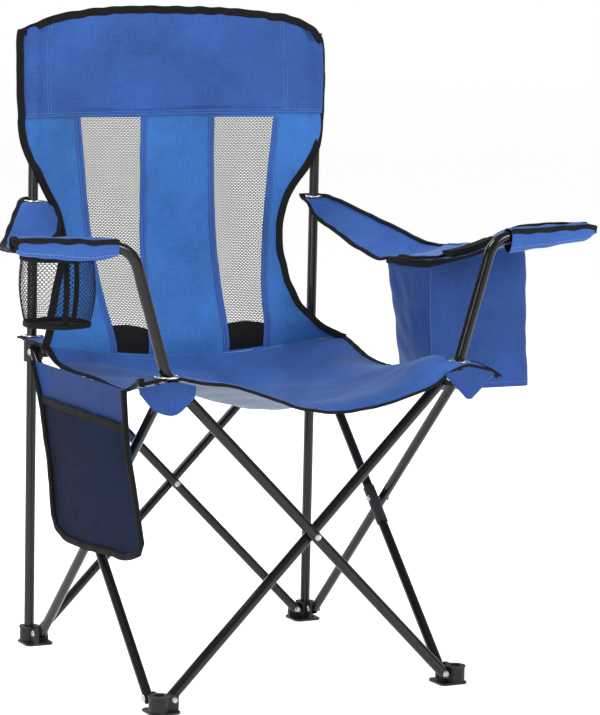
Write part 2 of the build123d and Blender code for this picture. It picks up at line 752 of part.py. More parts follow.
with BuildPart() as cooler_lid:
    with BuildSketch(Plane.XY.offset(ARM_LOW_Z)):
        with Locations((COOLER_X, COOLER_Y)):
            Rectangle(LID_WIDTH, COOLER_DEPTH - 2 * LID_INSET)
    extrude(amount=-CLOTH)
    with BuildSketch(Plane.YZ.offset(COOLER_X - LID_WIDTH / 2)):
        with Locations((COOLER_Y + COOLER_DEPTH / 2 - LID_INSET, ARM_LOW_Z - CLOTH / 2)):
            Circle(LID_ROLL_R)
    extrude(amount=LID_WIDTH)
write(cooler_lid.part, "cooler_lid")


# --- cup holder ----------------------------------------------------------------------------
with BuildPart() as cup_rim:
    with BuildSketch(Plane.XY.offset(CUP_TOP_Z - CUP_RIM_T)):
        with Locations((CUP_X, CUP_Y)):
            Circle(CUP_RIM_R)
            Circle(CUP_TOP_R - CUP_WALL, mode=Mode.SUBTRACT)
    extrude(amount=CUP_RIM_T)
    fillet(cup_rim.faces().sort_by(Axis.Z)[-1].edges(), CUP_WALL / 2)
write(cup_rim.part, "cup_holder_rim")

with BuildPart() as cup_mesh:
    for inset, mode in ((0.0, Mode.ADD), (CUP_WALL, Mode.SUBTRACT)):
        with BuildSketch(Plane.XY.offset(CUP_LOW_Z + CUP_BASE_T + CUP_FIT)):
            with Locations((CUP_X, CUP_Y)):
                Circle(CUP_LOW_R - inset)
        with BuildSketch(Plane.XY.offset(CUP_TOP_Z - CUP_RIM_T - CUP_FIT)):
            with Locations((CUP_X, CUP_Y)):
                Circle(CUP_TOP_R - inset)
        loft(mode=mode)
write(cup_mesh.part, "cup_holder_mesh")

with BuildPart() as cup_base:
    with BuildSketch(Plane.XY.offset(CUP_LOW_Z)):
        with Locations((CUP_X, CUP_Y)):
            Circle(CUP_LOW_R + CUP_WALL)
    extrude(amount=CUP_BASE_T)
    fillet(cup_base.edges(), CUP_BASE_T / 3)
write(cup_base.part, "cup_holder_base")


# --- side pocket ---------------------------------------------------------------------------
POCKET_OUTLINE = [
    (176.0, POCKET_TOP_Z),
    (148.0, POCKET_MOUTH_Z),
    (105.0, 268.0),
    (95.0, 212.0),
    (62.0, 190.0),
    (-15.0, 185.0),
    (-188.0, 203.0),
    (-216.0, 224.0),
    (-186.0, 295.0),
    (-163.0, 350.0),
    (-150.0, POCKET_TOP_Z),
]
with BuildSketch() as pouch_outline:
    Polygon(*POCKET_OUTLINE, align=None)
    with Locations((0, POCKET_MOUTH_Z)):
        Rectangle(2 * POST, POST, align=(Align.CENTER, Align.MIN), mode=Mode.SUBTRACT)
with BuildSketch() as pouch_inside:
    Polygon(*POCKET_OUTLINE, align=None)
    offset(amount=-POCKET_SEAM)
with BuildPart() as side_pocket:
    with BuildSketch(Plane.YZ.offset(POCKET_X)):
        Polygon(*POCKET_OUTLINE, align=None)
    extrude(amount=-POCKET_WALL)
    with BuildSketch(Plane.YZ.offset(POCKET_X - POCKET_WALL)):
        add(pouch_outline.sketch)
    extrude(amount=-POCKET_DEPTH)
    with BuildSketch(Plane.YZ.offset(POCKET_X - POCKET_WALL)):
        add(pouch_inside.sketch)
    extrude(amount=-(POCKET_DEPTH - POCKET_WALL), mode=Mode.SUBTRACT)
write(side_pocket.part, "side_pocket")
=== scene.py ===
import math

import bpy
import numpy as np
from mathutils import Matrix, Vector


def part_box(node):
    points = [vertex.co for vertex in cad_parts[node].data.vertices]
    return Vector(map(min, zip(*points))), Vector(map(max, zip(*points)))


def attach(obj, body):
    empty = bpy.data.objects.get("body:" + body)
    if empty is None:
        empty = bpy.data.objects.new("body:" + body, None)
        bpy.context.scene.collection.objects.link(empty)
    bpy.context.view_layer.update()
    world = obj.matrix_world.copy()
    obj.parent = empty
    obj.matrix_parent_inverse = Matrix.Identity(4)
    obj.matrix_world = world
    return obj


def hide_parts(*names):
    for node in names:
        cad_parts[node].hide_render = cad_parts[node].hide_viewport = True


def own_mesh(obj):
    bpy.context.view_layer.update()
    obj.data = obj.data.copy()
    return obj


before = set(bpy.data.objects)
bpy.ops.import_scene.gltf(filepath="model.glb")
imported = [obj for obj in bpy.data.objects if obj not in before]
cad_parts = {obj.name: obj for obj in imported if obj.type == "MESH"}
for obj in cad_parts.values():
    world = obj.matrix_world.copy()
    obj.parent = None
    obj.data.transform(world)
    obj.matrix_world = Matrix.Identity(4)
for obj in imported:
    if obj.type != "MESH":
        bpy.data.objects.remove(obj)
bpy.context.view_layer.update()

MM = 0.001
FOLD_KEEP = 0.259  # spacing of the uprights when folded, as a share of their spacing at rest


def span(node):
    """Lowest and highest corner of a CAD node, in millimetres."""
    low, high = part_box(node)
    return np.array(low) / MM, np.array(high) / MM


def middle(node):
    low, high = span(node)
    return (low + high) / 2


POST = middle("rear_left_upright")[0]
UPRIGHT_FRONT = span("rear_left_upright")[0][1] - 1.4
UPRIGHT_BACK = span("rear_left_upright")[1][1] + 1.4
ARM_HOLE = 9.6  # radius of a cloth's opening at a rear grommet
SEAT_HOLE = 14.2


# --- curves ---
def dense(points):
    """Points close together on a smooth curve through the given ones."""
    per = 24
    p = np.array(points, float)
    step = np.linalg.norm(np.diff(p, axis=0), axis=1)
    slope = np.diff(p, axis=0) / step[:, None]
    m = np.empty_like(p)
    m[0], m[-1] = slope[0], slope[-1]
    both = (step[1:] + step[:-1])[:, None]
    m[1:-1] = (slope[:-1] * step[1:, None] + slope[1:] * step[:-1, None]) / both
    out = []
    t = np.linspace(0, 1, per, endpoint=False)[:, None]
    for k, h in enumerate(step):
        out.append(
            (2 * t**3 - 3 * t**2 + 1) * p[k]
            + (t**3 - 2 * t**2 + t) * h * m[k]
            + (3 * t**2 - 2 * t**3) * p[k + 1]
            + (t**3 - t**2) * h * m[k + 1]
        )
    return np.vstack(out + [p[-1:]])


def lengths(p):
    return np.concatenate([[0], np.cumsum(np.linalg.norm(np.diff(p, axis=0), axis=1))])


def resample(p, count):
    s = lengths(p)
    at = np.linspace(0, s[-1], count)
    return np.stack([np.interp(at, s, p[:, k]) for k in range(p.shape[1])], 1)


def spline(points, count):
    """Evenly spaced points on a smooth curve."""
    return resample(dense(points), count)


def look_up(table):
    """A smooth function through (place, value) rows, level beyond them."""
    q = dense(table)
    order = np.argsort(q[:, 0], kind="stable")
    q = q[order]
    return lambda x: np.interp(x, q[:, 0], q[:, 1])


def shares(count):
    return np.linspace(0, 1, count)


def clamp(v):
    return np.clip(v, 0, 1)


def arch(v):
    """0 at 0 and 1, and 1 half way."""
    return np.sin(math.pi * v)


def unit(v):
    return v / np.maximum(np.linalg.norm(v, axis=-1, keepdims=True), 1e-9)


def tangents(p):
    return unit(np.gradient(p, axis=0))


def ripple(p, scale, seed):
    """A smooth, repeatable field from -1 to 1 or so, with lumps about scale mm across."""
    waves = 7
    rng = np.random.RandomState(seed)
    total = np.zeros(p.shape[:-1])
    for _ in range(waves):
        k = unit(rng.normal(size=3)) * 2 * math.pi / scale * rng.uniform(0.6, 1.5)
        total += np.sin(p @ k + rng.uniform(0, 2 * math.pi))
    return total / math.sqrt(waves)


# --- materials ---
def linear(r, g, b):
    c = np.array([r, g, b], float) / 255
    return tuple(np.where(c <= 0.04045, c / 12.92, ((c + 0.055) / 1.055) ** 2.4)) + (1.0,)


class Shader:
    """A principled material and short ways to add nodes to it."""

    def __init__(self, name, **values):
        self.mat = bpy.data.materials.new(name)
        self.mat.use_nodes = True
        self.tree = self.mat.node_tree
        self.bsdf = self.tree.nodes["Principled BSDF"]
        for key, value in values.items():
            self.bsdf.inputs[key.replace("_", " ")].default_value = value

    def add(self, kind, inputs=(), **settings):
        node = self.tree.nodes.new(kind)
        for key, value in settings.items():
            setattr(node, key, value)
        for key, value in dict(inputs).items():
            if isinstance(value, bpy.types.NodeSocket):
                self.tree.links.new(value, node.inputs[key])
            else:
                node.inputs[key].default_value = value
        return node

    def math(self, operation, a, b=0.0):
        return self.add("ShaderNodeMath", {0: a, 1: b}, operation=operation).outputs[0]

    def noise(self, vector, scale, detail=2.0):
        node = self.add("ShaderNodeTexNoise", {"Scale": scale, "Detail": detail})
        self.tree.links.new(vector, node.inputs["Vector"])
        return node.outputs["Fac"]

    def ramp(self, value, low, high, to_low=0.0, to_high=1.0):
        node = self.add(
            "ShaderNodeMapRange",
            {"Value": value, "From Min": low, "From Max": high, "To Min": to_low, "To Max": to_high},
        )
        return node.outputs["Result"]

    def mix(self, factor, a, b):
        node = self.add("ShaderNodeMix", data_type="RGBA")
        for index, value in ((0, factor), (6, a), (7, b)):
            if isinstance(value, bpy.types.NodeSocket):
                self.tree.links.new(value, node.inputs[index])
            else:
                node.inputs[index].default_value = value
        return node.outputs[2]

    def stretched(self, vector, x, y, z):
        node = self.add("ShaderNodeMapping", {"Scale": (x, y, z)})
        self.tree.links.new(vector, node.inputs["Vector"])
        return node.outputs["Vector"]

    def bump(self, height, strength, distance):
        node = self.add(
            "ShaderNodeBump", {"Strength": strength, "Distance": distance, "Height": height},
        )
        self.tree.links.new(node.outputs["Normal"], self.bsdf.inputs["Normal"])

    def colour(self, socket):
        self.tree.links.new(socket, self.bsdf.inputs["Base Color"])

    def roughness(self, socket):
        self.tree.links.new(socket, self.bsdf.inputs["Roughness"])


def shade(colour, factor):
    return tuple(min(1.0, c * factor) for c in colour[:3]) + (1.0,)


YARN = 0.8


def woven(name, colour, contrast=0.36, sheen=0.22, rough=0.62, bump=0.55):
    """Plain weave that follows the cloth's own map, with slubs, soft fading and wear."""
    s = Shader(
        name, Sheen_Weight=sheen, Sheen_Roughness=0.35, Sheen_Tint=(0.7, 0.83, 1.0, 1.0),
        Specular_IOR_Level=0.16,
    )
    uv = s.add("ShaderNodeUVMap", uv_map="cloth").outputs["UV"]
    place = s.add("ShaderNodeTexCoord").outputs["Object"]
    parts = s.add("ShaderNodeSeparateXYZ", {0: uv})
    turn = math.pi / (YARN * MM)
    across = s.math("SINE", s.math("MULTIPLY", parts.outputs[0], turn))
    along = s.math("SINE", s.math("MULTIPLY", parts.outputs[1], turn))
    crowns = s.math("MULTIPLY", across, along)
    weft = s.noise(s.stretched(uv, 45, 1500, 1), 1.0, 1.0)
    warp = s.noise(s.stretched(uv, 1500, 45, 1), 1.0, 1.0)
    slub = s.math("ADD", weft, warp)
    fade = s.noise(place, 9.0, 3.0)
    tone = s.math("ADD", s.ramp(crowns, -1, 1, -0.12, 0.12), s.ramp(slub, 0.7, 1.3, -0.3, 0.3))
    tone = s.math("ADD", tone, s.ramp(fade, 0.3, 0.7, 0.2, 0.8))
    s.colour(s.mix(tone, shade(colour, 1 - contrast), shade(colour, 1 + contrast)))
    s.roughness(s.ramp(fade, 0.3, 0.7, rough - 0.06, rough + 0.06))
    creases = s.math("MULTIPLY", s.noise(s.stretched(place, 34, 34, 20), 1.0, 2.5), 16.0)
    s.bump(s.math("ADD", s.math("ADD", crowns, s.math("MULTIPLY", slub, 1.5)), creases), bump, 0.00015)
    return s.mat


def webbing(name, colour, rib=1.5, haze=0.1):
    """Ribbed tape."""
    s = Shader(
        name, Sheen_Weight=haze, Sheen_Roughness=0.5, Sheen_Tint=shade(colour, 4.0),
        Specular_IOR_Level=0.07,
    )
    uv = s.add("ShaderNodeUVMap", uv_map="cloth").outputs["UV"]
    place = s.add("ShaderNodeTexCoord").outputs["Object"]
    parts = s.add("ShaderNodeSeparateXYZ", {0: uv})
    ribs = s.math("SINE", s.math("MULTIPLY", parts.outputs[1], 2 * math.pi / (rib * MM)))
    weave = s.math("SINE", s.math("MULTIPLY", parts.outputs[0], 2 * math.pi / (0.8 * MM)))
    fuzz = s.noise(place, 900.0, 2.0)
    worn = s.noise(place, 35.0, 3.0)
    tone = s.math("ADD", s.ramp(ribs, -1, 1, 0.0, 0.35), s.ramp(fuzz, 0.35, 0.75, 0.0, 0.5))
    tone = s.math("MULTIPLY", tone, s.ramp(worn, 0.3, 0.7, 0.6, 1.2))
    s.colour(s.mix(tone, shade(colour, 0.7), shade(colour, 2.2)))
    s.roughness(s.ramp(worn, 0.3, 0.7, 0.62, 0.8))
    s.bump(s.math("ADD", ribs, s.math("MULTIPLY", weave, 0.5)), 0.5, 0.0002)
    return s.mat


def moulded(name, colour, rough, grain=0.12, specular=0.25):
    """Plastic or paint with a fine grain, scuffs and slightly worn edges."""
    s = Shader(name, Specular_IOR_Level=specular)
    place = s.add("ShaderNodeTexCoord").outputs["Object"]
    fine = s.noise(place, 1400.0, 2.0)
    smear = s.noise(place, 28.0, 4.0)
    scuff = s.noise(s.stretched(place, 260, 260, 60), 1.0, 3.0)
    edge = s.ramp(s.add("ShaderNodeNewGeometry").outputs["Pointiness"], 0.53, 0.62)
    marks = s.math("ADD", s.ramp(scuff, 0.62, 0.8, 0.0, 0.5), s.math("MULTIPLY", edge, 0.45))
    s.colour(s.mix(marks, shade(colour, 1.0), shade(colour, 3.2)))
    s.roughness(
        s.ramp(s.math("ADD", smear, s.math("MULTIPLY", marks, 0.4)), 0.3, 0.9, rough * 0.8, rough * 1.4)
    )
    s.bump(fine, grain, 0.0002)
    return s.mat


def bright_metal(name, colour, rough):
    """Turned bare metal with faint stains."""
    s = Shader(name, Metallic=1.0)
    place = s.add("ShaderNodeTexCoord").outputs["Object"]
    turned = s.noise(s.stretched(place, 300, 300, 2600), 1.0, 2.0)
    stain = s.noise(place, 160.0, 3.0)
    s.colour(s.mix(s.ramp(stain, 0.35, 0.75), shade(colour, 1.0), shade(colour, 0.62)))
    s.roughness(s.ramp(stain, 0.3, 0.7, rough - 0.05, rough + 0.15))
    s.bump(turned, 0.15, 0.0001)
    return s.mat


BLUE = (0.029, 0.090, 0.315, 1.0)
SKY = (0.036, 0.143, 0.430, 1.0)
# the blue polyester darkened as painted shade, for the cooler pouch and the seat flaps, which sit in
# shade
PAINTED_SHADE_BLUE = (0.018, 0.056, 0.215, 1.0)
# the blue polyester darkened further as painted shade, for the pocket side that faces away from the
# lights
POCKET_PAINTED_SHADE_BLUE = (0.008, 0.036, 0.165, 1.0)
LINING = (0.13, 0.17, 0.25, 1.0)
BLACK = (0.009, 0.009, 0.0095, 1.0)
m_blue = woven("blue_polyester", BLUE)
m_sky = woven("sky_blue_polyester", SKY)
m_painted_shade_blue = woven("blue_polyester_painted_shade", PAINTED_SHADE_BLUE)
m_pocket_painted_shade = woven("blue_polyester_pocket_painted_shade", POCKET_PAINTED_SHADE_BLUE, sheen=0.03)
m_lid = woven("blue_polyester_lid", (0.05, 0.145, 0.43, 1.0))
m_lining = woven("coated_underside", LINING, contrast=0.08, sheen=0.1, rough=0.5, bump=0.2)
m_dark = woven("black_cloth", (0.012, 0.012, 0.014, 1.0), contrast=0.5, sheen=0.05)
m_tape = webbing("black_binding_tape", BLACK)
m_strap = webbing("black_webbing", (0.011, 0.011, 0.0115, 1.0), rib=2.2)
m_net = webbing("black_net_yarn", (0.012, 0.012, 0.0125, 1.0), rib=0.5, haze=0.0)
m_thread = webbing("blue_thread", (0.16, 0.33, 0.72, 1.0), rib=0.4)
m_black_thread = webbing("black_thread", (0.03, 0.03, 0.03, 1.0), rib=0.4)
m_pale_thread = webbing("pale_thread", linear(170, 180, 200), rib=0.4)
m_tube = moulded("black_powder_coat", (0.0035, 0.0035, 0.0038, 1.0), 0.15, grain=0.015, specular=0.36)
m_plastic = moulded("black_moulded_plastic", (0.012, 0.012, 0.013, 1.0), 0.42, grain=0.2)
m_bracket = moulded("black_bracket_plastic", (0.011, 0.011, 0.012, 1.0), 0.36, grain=0.16)
m_rivet = bright_metal("rivet_steel_brushed", (0.52, 0.52, 0.54, 1.0), 0.34)
m_grommet = bright_metal("grommet_nickel", (0.78, 0.77, 0.75, 1.0), 0.2)
LINED_BLUE = [m_blue, m_lining]
# painted-shade blue with the coated lining on the other side
LINED_PAINTED_SHADE_BLUE = [m_painted_shade_blue, m_lining]

for node_name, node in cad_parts.items():
    if "grommet" in node_name:
        look = m_grommet
    elif "rivet" in node_name:
        look = m_rivet
    elif "hub" in node_name or "collar" in node_name:
        look = m_bracket
    elif "foot" in node_name or "cap" in node_name or "spacer" in node_name:
        look = m_plastic
    else:
        look = m_tube
    node.data.materials.clear()
    node.data.materials.append(look)


# --- meshes ---
def make(name, verts, faces, mats, uv, body, squash=None, slot=None, stands_for=(), thick=0.0):
    """A mesh object from millimetre points, riding on its body."""
    mesh = bpy.data.meshes.new(name)
    mesh.from_pydata((np.asarray(verts) * MM).tolist(), [], [list(map(int, f)) for f in faces])
    mesh.validate()
    mats = mats if isinstance(mats, (list, tuple)) else [mats]
    for mat in mats:
        mesh.materials.append(mat)
    layer = mesh.uv_layers.new(name="cloth")
    loops = np.zeros(len(mesh.loops), int)
    mesh.loops.foreach_get("vertex_index", loops)
    layer.data.foreach_set("uv", (np.asarray(uv)[loops] * MM).astype(np.float32).ravel())
    mesh.polygons.foreach_set("use_smooth", [True] * len(mesh.polygons))
    mesh.update()
    obj = bpy.data.objects.new(name, mesh)
    bpy.context.scene.collection.objects.link(obj)
    if thick:
        solid = obj.modifiers.new("thickness", "SOLIDIFY")
        solid.thickness = thick * MM
        solid.offset = -1
        if len(mats) > 1:
            solid.material_offset = 1
        crisp = obj.modifiers.new("crisp_edges", "EDGE_SPLIT")
        crisp.split_angle = math.radians(55)
    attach(obj, body)
    if squash:
        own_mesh(obj)
    if stands_for:
        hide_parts(*stands_for)
    return obj


def grid_faces(rows, cols, gone=None, flip=False):
    faces = []
    for i in range(rows - 1):
        for j in range(cols - 1):
            if gone is not None and gone[i, j]:
                continue
            a, b = i * cols + j, (i + 1) * cols + j
            faces.append((a, b, b + 1, a + 1) if flip else (a, a + 1, b + 1, b))
    return faces


def ring_faces(rings, count):
    """Faces between closed rings of count points."""
    return [
        (
            i * count + j, (i + 1) * count + j, (i + 1) * count + (j + 1) % count,
            i * count + (j + 1) % count,
        )
        for i in range(rings - 1) for j in range(count)
    ]


def grid_uv(p):
    """Distances along the cloth in both directions, centred."""
    u = np.cumsum(np.pad(np.linalg.norm(np.diff(p, axis=1), axis=2), ((0, 0), (1, 0))), axis=1)
    v = np.cumsum(np.pad(np.linalg.norm(np.diff(p, axis=0), axis=2), ((1, 0), (0, 0))), axis=0)
    u -= u[:, [u.shape[1] // 2]]
    return np.stack([u, v], -1).reshape(-1, 2)


def normals_of(p):
    """Unit normals of a grid of points."""
    return unit(np.cross(np.gradient(p, axis=1), np.gradient(p, axis=0)))


def compact(verts, faces, uv):
    """Drops points that no face uses."""
    used = sorted({i for f in faces for i in f})
    place = {old: new for new, old in enumerate(used)}
    return verts[used], [[place[i] for i in f] for f in faces], uv[used]


def cloth(name, p, mats, gone=None, flip=False, holes=(), keep=None, slot="blue_fabric", **more):
    """A cloth from a grid. holes are (x, y, radius) in plan; keep picks faces by their middle."""
    rows, cols = p.shape[:2]
    verts, uv = p.reshape(-1, 3).copy(), grid_uv(p)
    faces = grid_faces(rows, cols, gone, flip)
    for x, y, radius in holes:
        away = np.hypot(verts[:, 0] - x, verts[:, 1] - y)
        inside = away < radius
        faces = [f for f in faces if not all(inside[i] for i in f)]
        rim = {i for f in faces for i in f if inside[i]}
        for i in rim:
            d = verts[i, :2] - (x, y)
            verts[i, :2] = (x, y) + d / max(np.hypot(*d), 1e-6) * radius
    if keep is not None:
        centres = np.array([verts[list(f)].mean(0) for f in faces])
        chosen = keep(centres)
        faces = [f for f, k in zip(faces, chosen) if k]
    verts, faces, uv = compact(verts, faces, uv)
    return make(name, verts, faces, mats, uv, slot=slot, **more)


def frame_along(p, side):
    """Unit axes at each point: side made square to the curve, and the normal to both."""
    t = tangents(p)
    side = np.broadcast_to(np.asarray(side, float), p.shape)
    side = unit(side - (side * t).sum(1, keepdims=True) * t)
    return side, np.cross(t, side)


def sweep(name, p, side, section, mats, closed=False, **more):
    """A section of (side, normal) offsets carried along a curve."""
    a, n = frame_along(p, side)
    section = np.array(section, float)
    k, m = len(p), len(section)
    verts = (
        p[:, None] + a[:, None] * section[None, :, 0, None] + n[:, None] * section[None, :, 1, None]
    ).reshape(-1, 3)
    around = lengths(np.vstack([section, section[:1]]))[:-1]
    uv = np.stack(
        [np.broadcast_to(around[None], (k, m)), np.broadcast_to(lengths(p)[:, None], (k, m))], -1
    ).reshape(-1, 2)
    faces = []
    for i in range(k if closed else k - 1):
        for j in range(m):
            a0, b0 = i * m, ((i + 1) % k) * m
            faces.append((a0 + j, a0 + (j + 1) % m, b0 + (j + 1) % m, b0 + j))
    if not closed:
        faces.append(tuple(range(m))[::-1])
        faces.append(tuple((k - 1) * m + j for j in range(m)))
    return make(name, verts, faces, mats, uv, **more)


def rounded(low, high, half):
    """A rounded rectangle section from low to high across and +-half through."""
    r = min(half, (high - low) / 2) * 0.98
    steps = 3
    out = []
    for cx, cy, start in (
        (high - r, half - r, 0),
        (low + r, half - r, 90),
        (low + r, r - half, 180),
        (high - r, r - half, 270),
    ):
        for k in range(steps + 1):
            angle = math.radians(start + 90 * k / steps)
            out.append((cx + r * math.cos(angle), cy + r * math.sin(angle)))
    return out


def binding(
    name, path, inward, body, squash=None, width=9.0, half=1.7, out=1.4, seed=1, closed=False,
    mat=m_tape,
):
    """Folded tape sewn over a cloth's edge, with a row of stitches near its inner side."""
    count = max(8, int(lengths(path)[-1] / 5))
    both = resample(np.hstack([path, np.broadcast_to(inward, path.shape)]), count)
    p, side = both[:, :3], both[:, 3:]
    if closed:
        p, side = p[:-1], side[:-1]
    a, n = frame_along(p, side)
    p = p + a * (0.5 * ripple(p, 34, seed))[:, None] + n * (0.35 * ripple(p, 27, seed + 50))[:, None]
    obj = sweep(
        name, p, side, rounded(-out, width - out, half), mat, closed=closed,
        body=body, squash=squash, slot="black_binding",
    )
    for sign, label in ((1, "front"), (-1, "back")):
        stitches(
            f"{name}_stitches_{label}", [(p + a * (width - out - 2.0) + n * sign * half, n * sign)],
            m_black_thread, body, squash,
        )
    return obj


STITCH = 2.5


def stitches(name, rows, mat, body, squash=None, pitch=3.6, half=0.32, slot=None):
    """Rows of small thread stitches. Each row is (points, normals)."""
    verts, faces, uv = [], [], []
    for p, n in rows:
        total = lengths(p)[-1]
        count = int(total / pitch)
        if count < 2:
            continue
        both = resample(np.hstack([p, n]), count * 2 + 1)
        q, m = both[:, :3], unit(both[:, 3:])
        for k in range(0, count * 2 - 1, 2):
            mid, along = (q[k] + q[k + 1]) / 2, unit(q[k + 1] - q[k])
            up = unit(m[k] - along * (m[k] @ along))
            across = np.cross(along, up)
            base = len(verts)
            for a, c, h in (
                (-0.5, 0, -0.1), (-0.28, 1, 0.1), (-0.28, 0, 1), (-0.28, -1, 0.1),
                (0.28, 1, 0.1), (0.28, 0, 1), (0.28, -1, 0.1), (0.5, 0, -0.1),
            ):
                verts.append(mid + along * a * STITCH + across * c * half + up * h * half)
                uv.append((c * half, a * STITCH))
            faces += [
                tuple(base + i for i in f)
                for f in (
                    (0, 2, 1), (0, 3, 2), (1, 2, 5, 4), (2, 3, 6, 5), (4, 5, 7), (5, 6, 7),
                    (0, 1, 4, 7, 6, 3),
                )
            ]
    return make(name, np.array(verts), faces, mat, np.array(uv), body=body, squash=squash, slot=slot)


def on_surface(p, rows, cols, lift=0.15):
    """Points and normals at fractional rows and columns of a grid."""
    n = normals_of(p)
    rows, cols = np.broadcast_arrays(np.asarray(rows, float), np.asarray(cols, float))
    i = np.clip(rows.astype(int), 0, p.shape[0] - 2)
    j = np.clip(cols.astype(int), 0, p.shape[1] - 2)
    fr, fc = (rows - i)[:, None], (cols - j)[:, None]

    def pick(a):
        return (
            a[i, j] * (1 - fr) * (1 - fc) + a[i + 1, j] * fr * (1 - fc)
            + a[i, j + 1] * (1 - fr) * fc + a[i + 1, j + 1] * fr * fc
        )

    n = unit(pick(n))
    return pick(p) + n * lift, n


def flatten_round(p, g, reach):
    """Brings a cloth level under a grommet at g."""
    near = np.exp(-((np.hypot(p[..., 0] - g[0], p[..., 1] - g[1]) / reach) ** 4))
    p[..., 2] += (g[2] - 1.6 - p[..., 2]) * near


def net(
    name, place, width, height, body, squash, slot, cell=4.6, row=1.95, bar=0.42, thick=0.5,
    inside=None, stands_for=(),
):
    """Knitted hexagonal net. place bends flat (a, b) into shape; inside keeps cells by middle."""
    faces, index = [], {}
    rows = int(height / row) + 1
    cols = int(width / cell) + 1
    corner = [(0, 1.0), (0.5, 0.42), (0.5, -0.42), (0, -1.0), (-0.5, -0.42), (-0.5, 0.42)]
    cx, cy = [], []
    for i in range(rows):
        for j in range(cols + 1):
            cx.append((j + 0.5 * (i % 2)) * cell - width / 2)
            cy.append(i * row)
    cx, cy = np.array(cx), np.array(cy)
    ok = np.ones(len(cx), bool) if inside is None else inside(cx, cy)
    reach = row * 0.704
    flat = []
    for x, y in zip(cx[ok], cy[ok]):
        outer = []
        for a, b in corner:
            q = (round(x + a * cell, 3), round(y + b * reach, 3))
            if q not in index:
                index[q] = len(flat)
                flat.append(q)
            outer.append(index[q])
        inner = []
        for a, b in corner:
            inner.append(len(flat))
            flat.append((x + a * (cell - 2 * bar), y + b * (reach - bar * 1.1)))
        for k in range(6):
            faces.append((outer[k], outer[(k + 1) % 6], inner[(k + 1) % 6], inner[k]))
    flat = np.array(flat)
    verts = place(flat[:, 0], flat[:, 1])
    return make(
        name, verts, faces, m_net, flat, body=body, squash=squash, slot=slot, thick=thick,
        stands_for=stands_for,
    )


# --- backrest ---
BACK = dict(
    body="rear_right_leg", squash=dict(axis=(1, 0, 0), anchor=(-POST * MM, 0, 0), keep=FOLD_KEEP),
)
low_edge = look_up([(0, 421), (72, 422), (120, 427), (168, 434), (211, 441), (240, 444)])
top_edge = look_up(
    [
        (-250, 890), (-204, 909), (-158, 918), (-79, 925), (-24, 926), (33, 925.5), (131, 921),
        (198, 910), (218, 900), (229, 883),
    ]
)
left_half = look_up(
    [
        (444, 240), (466, 203), (490, 187), (521, 178), (560, 171), (589, 170), (649, 185), (698, 219),
        (731, 234), (780, 238), (851, 238), (870, 236), (883, 231),
    ]
)
right_half = look_up(
    [
        (444, 247), (466, 234), (490, 219), (535, 199), (582, 188), (611, 191), (676, 222), (727, 248),
        (777, 253), (876, 254), (885, 254),
    ]
)
back_middle = look_up(
    [
        (421, 178), (444, 178), (470, 188), (520, 206), (560, 216), (600, 223), (650, 228), (700, 229),
        (766, 228), (930, 227),
    ]
)
back_edge = look_up(
    [
        (444, 142), (466, 156), (490, 184), (521, 203), (560, 214), (600, 220), (650, 222), (700, 221),
        (766, 224), (880, 228),
    ]
)
window_in = look_up([(434, 64.5), (615, 60), (766, 59)])
window_out = look_up([(434, 118), (615, 141), (766, 156)])
HEADER_LOW = span("back_header")[0][2]
WINDOW_TOP = HEADER_LOW - 2


def back_y(x, z):
    half = np.where(x > 0, left_half(z), right_half(z))
    t = clamp(np.abs(x) / half)
    y = back_edge(z) + (back_middle(z) - back_edge(z)) * (1 - t**2.2)
    return np.minimum(y, UPRIGHT_FRONT + 0.06 * (np.abs(x) - POST) ** 2)


def back_wave(x, z):
    """Soft folds of the stretched cloth, calm along the seam and at the edges."""
    p = np.stack([x, 0 * x, z], -1)
    folds = 1.8 * ripple(p, 150, 3) + 2.2 * ripple(p * (1, 1, 0.3), 75, 5)
    folds += 0.9 * ripple(p * (1, 1, 0.4), 30, 4)
    return folds * clamp((z - low_edge(np.abs(x))) / 60) * np.clip(1.05 - np.abs(x) / 245, 0.1, 1)


def back_point(x, z, ahead=0.0):
    x, z = np.broadcast_arrays(np.asarray(x, float), np.asarray(z, float))
    return np.stack([x, back_y(x, z) + back_wave(x, z) - ahead, z], -1)


STRIP_COLUMNS = [12, 10, 16, 10, 12]  # side, window, middle, window, side
WINDOW_COLUMNS = [(12, 22), (38, 48)]
strip_of = np.concatenate([np.full(n, strip) for strip, n in enumerate(STRIP_COLUMNS)] + [[4]])
share_of = np.concatenate([np.arange(n) / n for n in STRIP_COLUMNS] + [[1.0]])


def back_x(z):
    """x of each column at height z, for arrays of rows by columns."""
    edges = np.stack(
        [-right_half(z), -window_out(z), -window_in(z), window_in(z), window_out(z), left_half(z)], -1,
    )
    g = np.broadcast_to(strip_of, z.shape)
    a = np.take_along_axis(edges, g[..., None], -1)[..., 0]
    b = np.take_along_axis(edges, g[..., None] + 1, -1)[..., 0]
    return a + (b - a) * share_of


cols = len(strip_of)
low_rows, tall_rows, top_rows = 3, 52, 3
z = np.full((low_rows + tall_rows + top_rows + 1, cols), 440.0)
share = np.concatenate(
    [
        np.linspace(0, 1, low_rows, endpoint=False), 1 + np.linspace(0, 1, tall_rows, endpoint=False),
        2 + shares(top_rows + 1),
    ]
)[:, None]
for _ in range(5):
    x = back_x(z)
    bottom = low_edge(np.abs(x))
    z = np.where(
        share < 1, bottom + 3 * share,
        np.where(
            share < 2, bottom + 3 + (WINDOW_TOP - bottom - 3) * (share - 1),
            WINDOW_TOP + 20 * (share - 2),
        ),
    )
x = back_x(z)
back = back_point(x, z)
gone = np.zeros((back.shape[0] - 1, cols - 1), bool)
for first, last in WINDOW_COLUMNS:
    gone[low_rows : low_rows + tall_rows, first:last] = True
back_sheet = cloth(
    "back_cloth", back, [m_sky, m_lining], gone=gone, thick=1.2, stands_for=["back_panel"], **BACK,
)

